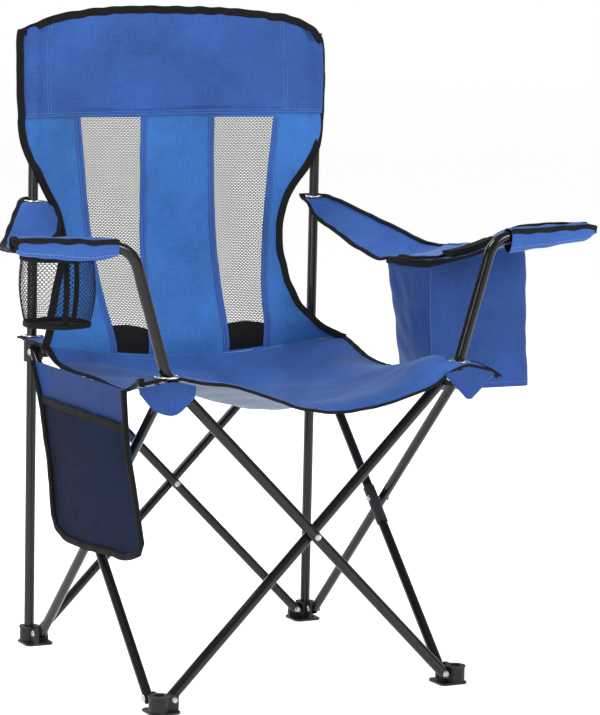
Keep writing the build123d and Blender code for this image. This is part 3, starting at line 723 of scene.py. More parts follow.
# hems beside the net, sewn twice
hem_rows, hems = [], []
for col, side, label in (
    (12, -1, "right_outer"), (22, 1, "right_inner"), (38, -1, "left_inner"), (48, 1, "left_outer"),
):
    line = back[low_rows : low_rows + tall_rows + 1, col]
    wide = np.stack([line + np.array([side * k, 0, 0]) for k in (-0.6, 1.5, 4.5, 7.5, 9.4)], 1)
    grown = back_point(wide[..., 0], wide[..., 2])
    grown[..., 1] += (line[:, 1] - grown[:, 0, 1])[:, None] - np.array([0.6, 1.2, 1.25, 1.2, 0.5])
    hems.append(cloth(f"back_hem_{label}", grown, [m_blue, m_blue], thick=0.5, flip=side < 0, **BACK))
    for at in (2.0, 7.6):
        pts = grown[:, 2].copy()
        pts[:, 0] = line[:, 0] + side * at
        pts[:, 1] -= 0.15
        hem_rows.append((pts, np.tile([0.0, -1, 0], (len(pts), 1))))
stitches("back_hem_stitches", hem_rows, m_thread, slot="blue_fabric", **BACK)

for sign, label in ((1, "left"), (-1, "right")):
    def place(a, b, sign=sign):
        zz = 424 + b
        xx = sign * (window_in(zz) + window_out(zz)) / 2 + a
        return back_point(xx, zz, -1.6)

    def inside(a, b, sign=sign):
        zz = 424 + b
        centre = (window_in(zz) + window_out(zz)) / 2
        xx = np.abs(sign * centre + a)
        across = (xx > window_in(zz) - 5) & (xx < window_out(zz) + 5)
        return across & (zz > low_edge(xx) + 1) & (zz < WINDOW_TOP + 6)

    strip = net(
        f"back_net_{label}", place, 112, 352, slot="black_mesh", inside=inside,
        stands_for=[f"back_mesh_{label}"], cell=5.6, row=2.35, bar=0.52, **BACK,
    )
    zz = shares(8)[:, None]
    lo, hi = low_edge(90) + 1, 463
    xs = shares(9)[None]
    z2 = lo + (hi - lo) * zz + 0 * xs + (
        4.0 * arch(xs) + (7 * (xs - 0.5) * -sign if sign < 0 else 0)
    ) * zz
    x2 = sign * (window_in(z2) - 3 + (window_out(z2) - window_in(z2) + 6) * xs)
    backing = cloth(
        f"back_net_backing_{label}", back_point(x2, z2, -2.4), m_dark, thick=0.6, flip=sign < 0,
        slot="black_mesh", **BACK,
    )

# header band, in front of the uprights, and the sheet behind them that closes its sleeves
hz = np.concatenate([np.linspace(0, 0.16, 9, endpoint=False), np.linspace(0.16, 1, 18)])[:, None]
hu = np.linspace(-1, 1, 85)[None]
z = HEADER_LOW + 0 * hu + 150 * hz
for _ in range(6):
    x = np.where(hu > 0, left_half(z), right_half(z)) * hu
    foot = HEADER_LOW + 4 * hu
    z = foot + (top_edge(x) - foot) * hz
header = back_point(x, z, 2.4 - 1.2 * hz)
crumple = 1.6 * ripple(header * (1, 1, 0.6), 60, 11) * clamp((x - 60) / 120) * (1 - hz) ** 1.5
crumple = crumple * clamp(1.2 - np.abs(hu) * 1.1)
header[..., 1] += 1.4 * ripple(header, 170, 9) * arch(hz) + crumple
tuck = foot + 13 + 1.5 * np.sin(x / 31)
header[..., 1] -= (
    2.2 * np.exp(-(((z - tuck) / 2.6) ** 2)) - 1.6 * np.exp(-(((z - tuck + 6) / 3.2) ** 2))
) * clamp((x + 170) / 12) * clamp((176 - x) / 12)
header[..., 1] += 0.7 * ripple(header * (1, 1, 0.5), 45, 14) * clamp((z - foot) / 12)
header[..., 1] = np.minimum(header[..., 1], UPRIGHT_FRONT + 0.06 * (np.abs(header[..., 0]) - POST) ** 2)
header_sheet = cloth(
    "back_header_cloth", header, LINED_BLUE, thick=1.2, stands_for=["back_header"], **BACK,
)
behind = header.copy()
behind[..., 1] = np.maximum(
    behind[..., 1] + 8.0, UPRIGHT_BACK - 0.06 * (np.abs(behind[..., 0]) - POST) ** 2,
)
edge_pull = clamp((1 - np.abs(hu)) / 0.06) * clamp((top_edge(x) - z) / 10)
behind[..., 1] = header[..., 1] + 1.5 + (behind[..., 1] - header[..., 1] - 1.5) * edge_pull
behind[..., 1] += 1.2 * ripple(behind, 90, 12) * edge_pull
rear_sheet = cloth("back_header_rear_cloth", behind, [m_blue, m_blue], thick=1.0, flip=True, **BACK)
rows = []
for at in (1.2, 2.6):
    rows.append(on_surface(header, np.full(200, at), np.linspace(0.9, 83.1, 200), -0.2))
for xs in (-208, -203, 172, 177):
    col = np.interp(xs, header[14, :, 0], np.arange(85))
    rows.append(on_surface(header, np.linspace(3.0, 25.2, 60), np.full(60, col), -0.2))
rows = [(p - np.array([0, 0.5, 0]), np.tile([0.0, -1, 0], (len(p), 1))) for p, _ in rows]
stitches("back_header_stitches", rows, m_thread, slot="blue_fabric", **BACK)

outline = np.vstack([
    back[: low_rows + tall_rows, 0], header[1:-1, 0], header[-1], header[1:-1, -1][::-1], back[
        : low_rows + tall_rows, -1,
    ][::-1],
])
outline = resample(outline, 460)
aim = np.stack([0 * outline[:, 0], outline[:, 1], np.clip(outline[:, 2], 480, 850)], 1) - outline
binding("back_binding", outline, unit(aim), width=11.5, half=2.1, seed=21, **BACK)


# --- seat ---
FRONT = [
    (-268, -244, 443), (-248, -246, 446), (-215, -247, 449), (-190, -246, 444), (-120, -240, 432),
    (-70, -237, 415), (-23, -235, 399), (27, -235, 392), (60, -235, 394), (110, -236, 402),
    (145, -237, 412), (178, -239, 424), (200, -240, 440), (228, -240, 447), (255, -240, 443),
    (277, -240, 434),
]
LEFT = [
    (277, -240, 434), (262, -238, 442), (246, -206, 450), (237, -150, 437), (231, -56, 423),
    (229, 0, 420), (230, 50, 425), (235, 95, 435), (240, 142, 444),
]
RIGHT = [
    (-268, -244, 443), (-253, -206, 445), (-238, -157, 431), (-234, -125, 420), (-234, 0, 421),
    (-235, 85, 422), (-237, 122, 428), (-240, 142, 444),
]
nu, nv = 97, 75
front = spline(FRONT, nu)
rear = resample(back[0], nu)
left, right = spline(LEFT, 400), spline(RIGHT, 400)
u = shares(nu)[None, :, None]


def at(edge, v):
    return np.stack([np.interp(v, shares(len(edge)), edge[:, k]) for k in range(3)], -1)


v = shares(300)
v3 = v[:, None, None]
coons = (
    (1 - v3) * front[None] + v3 * rear[None]
    + (1 - u) * at(right, v)[:, None] + u * at(left, v)[:, None]
    - (
        (1 - u) * (1 - v3) * front[0] + u * (1 - v3) * front[-1] + (1 - u) * v3 * rear[0]
        + u * v3 * rear[-1]
    )
)
coons[..., 2] -= 9 * arch(u[..., 0]) ** 1.4 * arch(v3[..., 0]) ** 0.9
n_front = 42
seat = np.empty((nv, nu, 3))
for j in range(nu):
    column = coons[:, j]
    cut = np.interp(0, column[:, 1], np.arange(300.0))
    where = np.concatenate([np.linspace(0, cut, n_front + 1), np.linspace(cut, 299, nv - n_front)[1:]])
    for k in range(3):
        seat[:, j, k] = np.interp(where, np.arange(300.0), column[:, k])
su = np.linspace(-1, 1, nu)[None]
calm = clamp((1 - np.abs(su)) / 0.25) * clamp(shares(nv)[:, None] / 0.15) * clamp(
    (1 - shares(nv)[:, None]) / 0.1
)
diagonal = seat @ np.array([0.5, 0.86, 0])
seat[..., 2] += calm * (
    2.6 * ripple(seat, 120, 31) + 1.0 * ripple(seat * (1, 0.5, 1), 40, 33)
    + 1.1 * np.sin(
        diagonal / 9 + ripple(seat, 160, 32)
    ) * clamp((seat[..., 0] - 60) / 100) * clamp(-seat[..., 1] / 120)
)
for label in ("front_left", "front_right"):
    flatten_round(seat, middle(f"{label}_seat_grommet"), 24)
holes = [
    (middle(f"{c}_seat_grommet")[0], middle(f"{c}_seat_grommet")[1], SEAT_HOLE)
    for c in ("front_left", "front_right")
]
SEAT_SQUASH = dict(axis=(1, 0, 0), anchor=(-POST * MM, 0, 0), keep=FOLD_KEEP)
TAB_X, TAB_Y = 196, -196


def is_tab(c, sign):
    return (sign * c[:, 0] > TAB_X) & (c[:, 1] < TAB_Y)


front_half = cloth(
    "seat_cloth_front", seat[: n_front + 1], LINED_BLUE, thick=1.3,
    keep=lambda c: ~is_tab(c, 1) & ~is_tab(c, -1), body="seat_front_half", squash=SEAT_SQUASH,
    stands_for=["seat_front"],
)
rear_half = cloth(
    "seat_cloth_rear", seat[n_front:], LINED_BLUE, thick=1.3, body="seat_rear_half", squash=SEAT_SQUASH,
    stands_for=["seat_rear"],
)
for label, sign, body, node in (
    ("left", 1, "front_inner_tube", "front_left_seat_patch"),
    ("right", -1, "front_outer_tube", "front_right_seat_patch"),
):
    tab = cloth(
        f"seat_corner_front_{label}", seat[: n_front + 1], LINED_BLUE, thick=1.3, holes=holes,
        keep=lambda c, s=sign: is_tab(c, s), body=body, stands_for=[node],
    )

row = seat[0]
FRONT_IN = np.array([0, 1.0, 0])
third = np.abs(row[:, 0]) < TAB_X
binding(
    "seat_front_binding", row[third], FRONT_IN, "seat_front_half", SEAT_SQUASH, width=11, half=2.0,
    seed=41,
)
binding(
    "seat_front_binding_left", np.vstack([row[row[:, 0] > TAB_X - 4], [(281, -238, 431)]]), FRONT_IN,
    "front_inner_tube", width=9, half=1.9, seed=42,
)
binding(
    "seat_front_binding_right", row[row[:, 0] < -TAB_X + 4], FRONT_IN, "front_outer_tube", width=9,
    half=1.9, seed=43,
)
for label, col, sign in (("left", -1, 1), ("right", 0, -1)):
    edge = seat[:, col]
    inward = np.array([-sign, 0.0, 0])
    post = f"front_{'inner' if sign > 0 else 'outer'}_tube"
    front_part = edge[: n_front + 1]
    binding(
        f"seat_side_binding_front_{label}", front_part[front_part[:, 1] > TAB_Y - 4], inward,
        "seat_front_half", SEAT_SQUASH, width=9, half=1.8, seed=44,
    )
    binding(
        f"seat_side_binding_rear_{label}", edge[n_front:], inward, "seat_rear_half", SEAT_SQUASH,
        width=9, half=1.8, seed=45,
    )
    binding(
        f"seat_corner_binding_{label}", front_part[front_part[:, 1] < TAB_Y + 4], inward, post, width=8,
        half=1.7, seed=46,
    )
seam = [
    on_surface(seat, np.full(160, r), np.linspace(1.5, nu - 2.5, 160), -0.1)
    for r in (nv - 1.3, nv - 2.2)
]
seam = [(p + np.array([0, 0, 0.9]), np.tile([0.0, -0.4, 0.9], (len(p), 1))) for p, _ in seam]
stitches("seat_rear_seam_stitches", seam, m_thread, "seat_rear_half", SEAT_SQUASH, slot="blue_fabric")

# rear corners, round the uprights
for sign, label, body in ((1, "left", "rear_left_collar"), (-1, "right", "rear_right_collar")):
    g = middle(f"rear_{label}_seat_grommet")
    a = spline([(190, 168, 441), (200, 205, 447), (205, 243, 448)], 17)
    b = spline([(240, 140, 445), (245, 190, 448), (244, 243, 448)], 17)
    w = shares(15)[None, :, None]
    tab = a[:, None] * (1 - w) + b[:, None] * w
    tab[..., 0] *= sign
    flatten_round(tab, g, 22)
    corner = cloth(
        f"seat_corner_rear_{label}", tab, LINED_BLUE, flip=sign < 0, thick=1.3,
        holes=[(g[0], g[1], ARM_HOLE)], body=body, stands_for=[f"rear_{label}_seat_patch"],
    )
    path = np.vstack([tab[:, -1], tab[-1, ::-1][1:]])
    aim = unit(np.array([sign * 218, 205, 447]) - path)
    binding(f"seat_corner_rear_binding_{label}", path, aim, body, width=8, half=1.7, seed=47)


def flap(name, top, low, depth_y, body, seed, pointed=False):
    """A small sewn flap in front of a hub, from (x, z) rows along its top and its lower edge."""
    t = spline([(x, depth_y, z) for x, z in top], 21)
    low = np.array([(x, depth_y, z) for x, z in low], float)
    b = resample(low, 21) if pointed else spline(low, 21)
    w = shares(13)[:, None, None]
    p = t[None] * (1 - w) + b[None] * w
    p[..., 1] += -2.5 * arch(w[..., 0]) + 0.8 * ripple(p, 40, seed)
    # the flap's face uses the darkened blue, a painted shade
    return cloth(name, p, LINED_PAINTED_SHADE_BLUE, flip=True, thick=1.2, body=body)


right_flap = flap(
    "seat_flap_right", [(-272, 440), (-243, 444), (-218, 446), (-190, 440)],
    [(-271, 433), (-246, 408), (-219, 402), (-192, 423)], -248, "front_outer_tube", 61,
)
left_flap = flap(
    "seat_flap_left", [(192, 440), (216, 443), (240, 444), (266, 438)],
    [(190, 436), (224, 402), (231, 402), (267, 433)], -243, "front_inner_tube", 62, pointed=True,
)


# --- arms ---
LEFT_INNER = [
    (214, 246, 648), (211, 232, 641), (214, 212, 625), (222, 150, 600), (230, 76, 577), (236, 37, 569),
    (238, 20, 572), (240, -110, 580), (262, -170, 592), (282, -217, 612),
]
LEFT_OUTER = [
    (240, 246, 650), (248, 224, 648), (273, 150, 628), (301, 88, 607), (322, 43, 591), (341, 0, 590),
    (365, -54, 598), (374, -73, 612), (386, -99, 623), (407, -146, 632), (434, -212, 638),
]
RIGHT_INNER = [
    (-216, 246, 646), (-202, 238, 643), (-196, 222, 638), (-195, 205, 621), (-203, 185, 605),
    (-225, 150, 595), (-248, 76, 590), (-260, 20, 590), (-264, -60, 590), (-268, -130, 598),
    (-280, -190, 610), (-290, -233, 618),
]
RIGHT_OUTER = [
    (-239, 246, 648), (-248, 232, 646), (-259, 215, 636), (-273, 200, 620), (-289, 180, 600),
    (-306, 156, 590), (-335, 100, 592), (-360, 20, 599), (-374, -40, 602), (-384, -99, 609),
    (-400, -160, 622), (-420, -205, 630), (-430, -229, 632),
]

LEFT_ARM = dict(
    body="front_inner_tube",
    squash=dict(axis=(0.0668, -0.8712, -0.4864), anchor=(0.372, -0.224, 0.625), keep=0.063),
)
RIGHT_ARM = dict(
    body="front_outer_tube",
    squash=dict(axis=(-0.0668, -0.8712, -0.4864), anchor=(-0.372, -0.224, 0.617), keep=0.072),
)


class Sling:
    """The arm's cloth between its two edges, as a function of x share and y."""

    def __init__(self, inner, outer, sag, seed, dome=0.0):
        self.inner = [look_up([(-p[1], p[k]) for p in inner]) for k in (0, 2)]
        self.outer = [look_up([(-p[1], p[k]) for p in outer]) for k in (0, 2)]
        self.sag, self.seed, self.dome = sag, seed, dome
        self.first, self.last = inner[0][1], inner[-1][1]

    def ends(self, y):
        return self.inner[0](-y), self.outer[0](-y)

    def point(self, x, y):
        xi, xo = self.ends(y)
        f = clamp((x - xi) / (xo - xi))
        z = self.inner[1](-y) * (1 - f) + self.outer[1](-y) * f
        drop = arch(f) * self.sag * arch(clamp((self.first - y) / (self.first - self.last))) ** 0.6
        drop = drop - arch(f) * self.dome * np.exp(-(((y - 195) / 38) ** 2))
        p = np.stack([x, y, z - drop], -1)
        p[..., 2] += (1.2 * ripple(p, 60, self.seed) + 0.5 * ripple(p, 26, self.seed + 5)) * arch(f)
        return p


left_sling = Sling(LEFT_INNER, LEFT_OUTER, 7, 71)
lid_low, lid_high = span("cooler_lid")
HOLE = (lid_low[0] + 9, lid_high[0] - 9, lid_low[1] + 9, lid_high[1] - 9)
BEHIND_HOLE, IN_HOLE, BEFORE_HOLE = 46, 18, 24  # rows of the left arm's cloth
INNER_STRIP, OVER_HOLE = 5, 14  # columns
ys = np.concatenate(
    [
        np.linspace(246, HOLE[3], BEHIND_HOLE, endpoint=False),
        np.linspace(HOLE[3], HOLE[2], IN_HOLE, endpoint=False), np.linspace(HOLE[2], -214, BEFORE_HOLE),
    ]
)
xi, xo = left_sling.ends(ys)
wide = xo - xi
a = np.clip(HOLE[0], xi + 0.14 * wide, xi + 0.45 * wide)
b = np.clip(HOLE[1], xi + 0.55 * wide, xo - 0.12 * wide)
q = np.concatenate([
    xi[:, None] + (a - xi)[:, None] * np.linspace(0, 1, INNER_STRIP, endpoint=False),
    a[:, None] + (b - a)[:, None] * np.linspace(0, 1, OVER_HOLE, endpoint=False),
    b[:, None] + (xo - b)[:, None] * shares(6),
], 1)
sling = left_sling.point(q, np.broadcast_to(ys[:, None], q.shape))
g = middle("left_arm_grommet")
flatten_round(sling, g, 17)
gone = np.zeros((sling.shape[0] - 1, sling.shape[1] - 1), bool)
gone[BEHIND_HOLE : BEHIND_HOLE + IN_HOLE, INNER_STRIP : INNER_STRIP + OVER_HOLE] = True
left_cloth = cloth(
    "left_arm_cloth", sling, LINED_BLUE, gone=gone, flip=True, thick=1.3,
    holes=[(g[0], g[1], ARM_HOLE)], **LEFT_ARM, stands_for=["left_armrest"],
)
binding("left_arm_binding_inner", sling[:-3, 0], (1.0, 0, 0), width=9, half=1.8, seed=72, **LEFT_ARM)
binding("left_arm_binding_outer", sling[:-1, -1], (-1.0, 0, 0), width=8, half=1.7, seed=73, **LEFT_ARM)
binding("left_arm_binding_rear", sling[0], (0, -1.0, 0), width=7, half=1.7, seed=74, **LEFT_ARM)
seam_y = lid_high[1] + 16
xs = np.linspace(left_sling.ends(seam_y)[0] + 3, left_sling.ends(seam_y + 28)[1] - 3, 40)
for k, extra in enumerate((0, 4)):
    pts = left_sling.point(xs, np.linspace(seam_y, seam_y + 28, 40) + extra) + np.array([0, 0, 0.3])
    stitches(
        f"left_arm_seam_{k}", [(pts, np.tile([0.0, 0, 1], (40, 1)))], m_thread, slot="blue_fabric",
        **LEFT_ARM,
    )

# lid of the cooler, lying on the sling
lid_x = np.linspace(lid_low[0] - 2, lid_high[0] + 2, 22)[None]
lid_y = np.linspace(lid_high[1], lid_low[1] - 2, 20)[:, None]
lid = left_sling.point(lid_x + 0 * lid_y, lid_y + 0 * lid_x)
crown = 1.5 * arch(shares(20))[:, None] * arch(shares(22))[None]
lid[..., 2] += 2.6 + crown + 0.5 * ripple(lid, 30, 75)
lid_cloth = cloth(
    "cooler_lid_cloth", lid, [m_lid, m_lining], flip=True, thick=1.8, body="cooler_lid",
    squash=LEFT_ARM["squash"], stands_for=["cooler_lid"],
)
rim = np.vstack([lid[1:, 0], lid[-1, 1:-1], lid[1:, -1][::-1]])
binding(
    "cooler_lid_binding", rim, unit(np.array([lid_x.mean(), lid_y.mean(), 584]) - rim), "cooler_lid",
    LEFT_ARM["squash"], width=7, half=1.5, seed=76,
)

px = np.linspace(264, 332, 12)[None]
py = np.linspace(-97, -134, 8)[:, None]
patch = left_sling.point(px + 0.12 * (py + 97), py + 0 * px)
patch[..., 2] += 9.5 + 0.8 * arch(shares(8))[:, None]
hook = cloth(
    "cooler_hook_strip", patch, m_strap, flip=True, thick=8.0, **LEFT_ARM, slot="black_binding",
)

# cooler, hung from the sling's edges
low = [(264, 15), (246, -108), (412, -110), (396, 10)]
top = [(239, 24), (239, -109), (396, -112), (345, 20)]
levels, side_n = 30, 18
ring = []
for i in range(levels):
    f = i / (levels - 1)
    corners = [np.array(a) * (1 - f) + np.array(b) * f for a, b in zip(top, low)]
    pts = []
    for k in range(4):
        c0, c1 = corners[k], corners[(k + 1) % 4]
        along = (c1 - c0) / np.linalg.norm(c1 - c0)
        out = np.array([along[1], -along[0]])
        if out @ (sum(corners) / 4 - (c0 + c1) / 2) > 0:
            out = -out
        for j in range(side_n):
            s = j / side_n
            belly = 6.0 * math.sin(math.pi * s) * math.sin(math.pi * min(1, f * 1.02 + 0.05)) ** 0.8
            pts.append(c0 * (1 - s) + c1 * s + out * belly)
    ring.append(pts)
ring = np.array(ring)
for _ in range(3):
    keepers = ring[:, side_n].copy()
    ring = 0.25 * np.roll(ring, 1, 1) + 0.5 * ring + 0.25 * np.roll(ring, -1, 1)
    ring[:, side_n] = keepers
f = shares(levels)[:, None]
over = left_sling.point(np.clip(ring[0, :, 0], 236, 402), ring[0, :, 1])[..., 2] - 2.0
cooler_low = span("cooler_pouch")[0][2]
cool = np.concatenate([ring, (over[None] * (1 - f) + cooler_low * f)[..., None]], -1)
away = unit((cool - cool.mean(1, keepdims=True)) * (1, 1, 0))
hang = 1.5 * ripple(cool, 95, 81) + 0.8 * ripple(cool, 32, 83)
cool += away * (hang * clamp(arch(f) * 1.6))[..., None]
n_ring = cool.shape[1]
verts = cool.reshape(-1, 3)
faces = ring_faces(levels, n_ring)
half_way = levels // 2
around = lengths(np.vstack([cool[half_way], cool[half_way][:1]]))[:-1]
uv = np.stack([np.broadcast_to(around[None], (levels, n_ring)), -cool[..., 2]], -1).reshape(-1, 2)
base, extra, extra_uv = cool[-1], [], []
for k, s in enumerate((0.97, 0.8, 0.55, 0.28, 0.02)):
    mid = base.mean(0)
    inner = mid + (base - mid) * s
    inner[:, 2] = base[:, 2] - (1.0, 2.2, 2.6, 2.8, 2.8)[k] + 3.0
    extra.append(inner)
    extra_uv.append(inner[:, :2])
    start = len(verts) + (k - 1) * n_ring if k else (levels - 1) * n_ring
    nxt = len(verts) + k * n_ring
    faces += [
        (start + j, nxt + j, nxt + (j + 1) % n_ring, start + (j + 1) % n_ring) for j in range(n_ring)
    ]
verts = np.vstack([verts] + extra)
uv = np.vstack([uv] + extra_uv)
# the cooler uses the darkened blue, a painted shade, with the coated lining inside
cooler = make(
    "cooler_cloth", verts, faces, LINED_PAINTED_SHADE_BLUE, uv, **LEFT_ARM, slot="blue_fabric",
    stands_for=["cooler_pouch"], thick=1.6,
)
closed_top = np.vstack([cool[0], cool[0][:1]])
binding(
    "cooler_top_binding", closed_top, (0, 0, -1.0), width=8, half=1.9, seed=82, closed=True, **LEFT_ARM,
)
crease = cool[2:-1, side_n]
stitches(
    "cooler_crease_stitches",
    [(crease + unit(crease - cool[2:-1].mean(1)) * 0.4, unit(crease - cool[2:-1].mean(1)))], m_thread,
    slot="blue_fabric", **LEFT_ARM,
)
bottom = np.vstack([cool[-2], cool[-2][:1]])
aw = unit((bottom - bottom.mean(0)) * (1, 1, 0))
stitches("cooler_base_stitches", [(bottom + aw * 0.5, aw)], m_thread, slot="blue_fabric", **LEFT_ARM)


BAR_RISE = math.tan(math.radians(2.505))


def arm_hem(label, body, open_end):
    """The hem that slips over the bar: an egg-shaped tube that hangs lower than the bar."""
    cap = middle(f"{label}_arm_bar_cap")
    sign = 1 if cap[0] > 0 else -1
    xs = np.linspace(300, 441.5, 34)
    line = np.stack([sign * xs, np.full(34, cap[1]), cap[2] + (xs - abs(cap[0])) * BAR_RISE], 1)
    count = 36
    angle = np.linspace(0, 2 * math.pi, count, endpoint=False)
    s, c = np.sin(angle), np.cos(angle)
    up = np.where(s > 0, 11.0, 24.0) * np.sign(s) * np.abs(s) ** 0.9
    deep = np.where(c > 0, 14.0, 11.2) * np.sign(c) * np.abs(c) ** 0.85
    grow = shares(len(line))[:, None]
    tip = 1 - (0.25 if open_end else 0.62) * clamp((grow - 0.84) / 0.16) ** 2
    lower = np.where(
        s < 0, (1.0 - 0.45 * grow) * (0.55 + 0.45 * clamp(grow / 0.35) if open_end else 1.0), 1.0,
    )
    p = np.zeros((len(line), count, 3))
    p[..., 0] = line[:, None, 0]
    p[..., 1] = line[:, None, 1] + deep * tip
    p[..., 2] = line[:, None, 2] + up * lower * tip
    away = unit((p - line[:, None]) * (0, 1, 1))
    p += away * (0.8 * ripple(p * (1, 1.5, 1.5), 34, 91 + sign))[..., None]
    closed = np.concatenate([p, p[:, :1]], 1)
    obj = cloth(f"{label}_arm_hem", closed, [m_blue, m_dark], flip=sign < 0, thick=1.2, body=body)
    at = int(count * 0.44)
    seam_at = int(count * 0.63)
    path = p[:, at]
    binding(
        f"{label}_arm_hem_binding", np.vstack([path, path[-1:] + np.array([(sign * 1.0, 6, -1)])]),
        (0, 0.25, -1.0), body, width=8.5, half=1.8, seed=95 + sign, out=4,
    )
    n = away[:, seam_at]
    stitches(
        f"{label}_arm_hem_stitches", [(p[:, seam_at] + n * 0.3, n)], m_pale_thread, body,
        slot="blue_fabric", pitch=4.2, half=0.4,
    )
    ends = p[-1]
    ring = np.vstack([ends, ends[:1]])
    binding(
        f"{label}_arm_hem_end", ring, (-sign * 1.0, 0, 0), body, width=7 if open_end else 9, half=1.4,
        seed=97, closed=True,
    )


arm_hem("left", "front_inner_tube", False)
arm_hem("right", "front_outer_tube", True)

# right arm, with the cup holder's opening
right_sling = Sling(RIGHT_INNER, RIGHT_OUTER, 4, 77, dome=14.0)
cup = middle("cup_holder_rim")
ys = np.linspace(246, -230, 100)
xi, xo = right_sling.ends(ys)
q = xi[:, None] + (xo - xi)[:, None] * shares(31)
rs = right_sling.point(q, np.broadcast_to(ys[:, None], q.shape))
g = middle("right_arm_grommet")
flatten_round(rs, g, 17)
near = np.exp(-((np.hypot(rs[..., 0] - cup[0], rs[..., 1] - cup[1]) / 62) ** 6))
rim_top = span("cup_holder_rim")[1][2]
rs[..., 2] += (rim_top + 1.5 - rs[..., 2]) * near
right_cloth = cloth(
    "right_arm_cloth", rs, LINED_BLUE, flip=False, thick=1.3,
    holes=[(g[0], g[1], ARM_HOLE), (cup[0], cup[1], 47.0)], **RIGHT_ARM, stands_for=["right_armrest"],
)
binding("right_arm_binding_inner", rs[:-3, 0], (-1.0, 0, 0), width=9, half=1.8, seed=78, **RIGHT_ARM)
binding(
    "right_arm_binding_outer", rs[:-1, -1], (1.0, 0, 0), width=11, half=2.2, seed=79, mat=m_strap,
    **RIGHT_ARM,
)
binding("right_arm_binding_rear", rs[0], (0, -1.0, 0), width=7, half=1.7, seed=80, **RIGHT_ARM)

# --- cup holder ---
t = np.linspace(0, 2 * math.pi, 73)
circle = np.stack([np.cos(t), np.sin(t), 0 * t], 1)
rim_low, rim_high = span("cup_holder_rim")
base_low = span("cup_holder_base")[0]
ring_path = np.array([cup[0], cup[1], rim_high[2] - 1.0]) + circle * 49.0
obj = binding(
    "cup_rim_tape", ring_path, (0, 0, -1.0), width=9, half=2.0, out=1.5, seed=101, closed=True,
    **RIGHT_ARM,
)
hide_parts("cup_holder_rim")


def cup_radius(z):
    f = (rim_low[2] - z) / (rim_low[2] - base_low[2])
    return 48.0 + 3.5 * arch(clamp(f)) ** 1.2 - 5.5 * clamp(f) ** 2.2


def cup_place(a, b):
    zz = base_low[2] + 1.5 + b
    angle = a / 49.0
    wob = 1 + 0.012 * np.sin(3 * angle + zz / 19)
    r = cup_radius(zz) * wob
    return np.stack([cup[0] + r * np.cos(angle), cup[1] + r * np.sin(angle), zz], -1)


around = 2 * math.pi * 49.0
cells = 50
cup_net = net(
    "cup_net", cup_place, around, rim_high[2] - base_low[2] - 5, slot="black_mesh", cell=around / cells,
    row=3.1, bar=0.3, stands_for=["cup_holder_mesh"], inside=lambda a,
    b: (a < around / 2 - 0.1) & (b > 0), **RIGHT_ARM,
)
rr = np.array([0.02, 0.35, 0.7, 0.94, 1.0, 1.02, 1.0])
zz = np.array([0.6, 0.3, 0.2, 0.1, 0.6, 2.2, 3.4])
disc = np.stack(
    [
        np.stack(
            [
                cup[0] + 43.5 * r * circle[:, 0], cup[1] + 43.5 * r * circle[:, 1],
                np.full(73, base_low[2] + h),
            ],
            -1,
        )
        for r, h in zip(rr, zz)
    ]
)
base = cloth(
    "cup_base_cloth", disc, m_dark, thick=1.6, slot="black_binding", stands_for=["cup_holder_base"],
    **RIGHT_ARM,
)
binding(
    "cup_base_tape", np.array([cup[0], cup[1], base_low[2] + 1.5]) + circle * 44.0, (0, 0, 1.0),
    width=7, half=1.5, out=1.0, seed=102, closed=True, **RIGHT_ARM,
)
for k, angle in enumerate((35, 160, 262)):
    c, s = math.cos(math.radians(angle)), math.sin(math.radians(angle))
    z_at = np.linspace(rim_high[2] - 4, base_low[2] + 4, 12)
    r = cup_radius(z_at) - 1.6
    path = np.stack([cup[0] + r * c, cup[1] + r * s, z_at], 1)
    path = np.vstack(
        [
            path,
            [
                (cup[0] + 38 * c, cup[1] + 38 * s, base_low[2] + 1.9),
                (cup[0], cup[1], base_low[2] + 1.7),
            ],
        ]
    )
    sweep(
        f"cup_strap_{k}", resample(path, 30), (-s, c, 0), rounded(-4.0, 4.0, 0.7), m_strap,
        slot="black_binding", **RIGHT_ARM,
    )

# --- pocket ---
POCKET = dict(
    body="rear_right_collar", squash=dict(axis=(0, 1, 0), anchor=(0, POST * MM, 0), keep=FOLD_KEEP),
)
near_edge = [(-150, 416), (-157, 376), (-163, 350), (-186, 295), (-213, 228)]
far_edge = [(176, 416), (148, 376), (124, 320), (105, 268), (93, 206)]
low_line = look_up(
    [(-213, 228), (-206, 212), (-188, 204), (-100, 193), (-15, 186.5), (60, 190), (84, 199), (93, 214)]
)
near_y = look_up([(-z, y) for y, z in near_edge])
far_y = look_up([(-z, y) for y, z in far_edge])


def pocket_grid(z_top, rows, bulge, seed):
    w = shares(29)[None]
    h = shares(rows)[:, None]
    z = z_top + (210 - z_top) * h + 0 * w
    for _ in range(4):
        y = near_y(-z) + (far_y(-z) - near_y(-z)) * w
        z = z_top + (low_line(y) - z_top) * h
    y = near_y(-z) + (far_y(-z) - near_y(-z)) * w
    x = -245.5 - bulge * arch(w) ** 0.7 * arch(clamp(0.25 + 0.75 * h)) ** 0.7
    p = np.stack([x + 0 * h, y, z], -1)
    p[..., 0] += 0.6 * ripple(p, 70, seed) * arch(w)
    return p


inner_panel = pocket_grid(423, 30, 0.8, 111)
# the pocket's inner panel uses the darkened blue, a painted shade
pocket_back = cloth(
    "pocket_back_cloth", inner_panel, [m_pocket_painted_shade, m_pocket_painted_shade], thick=0.9, stands_for=["side_pocket"], **POCKET,
)
outer_panel = pocket_grid(376, 26, 6.5, 112)


def pocket_place(a, b):
    """The outer panel as a net: flat places measured from its lower near corner."""
    h = 1 - b / 190.0
    w = a / 330.0 + 0.5
    i = clamp(h) * (outer_panel.shape[0] - 1)
    j = clamp(w) * (outer_panel.shape[1] - 1)
    return on_surface(outer_panel, i, j, 0)[0]


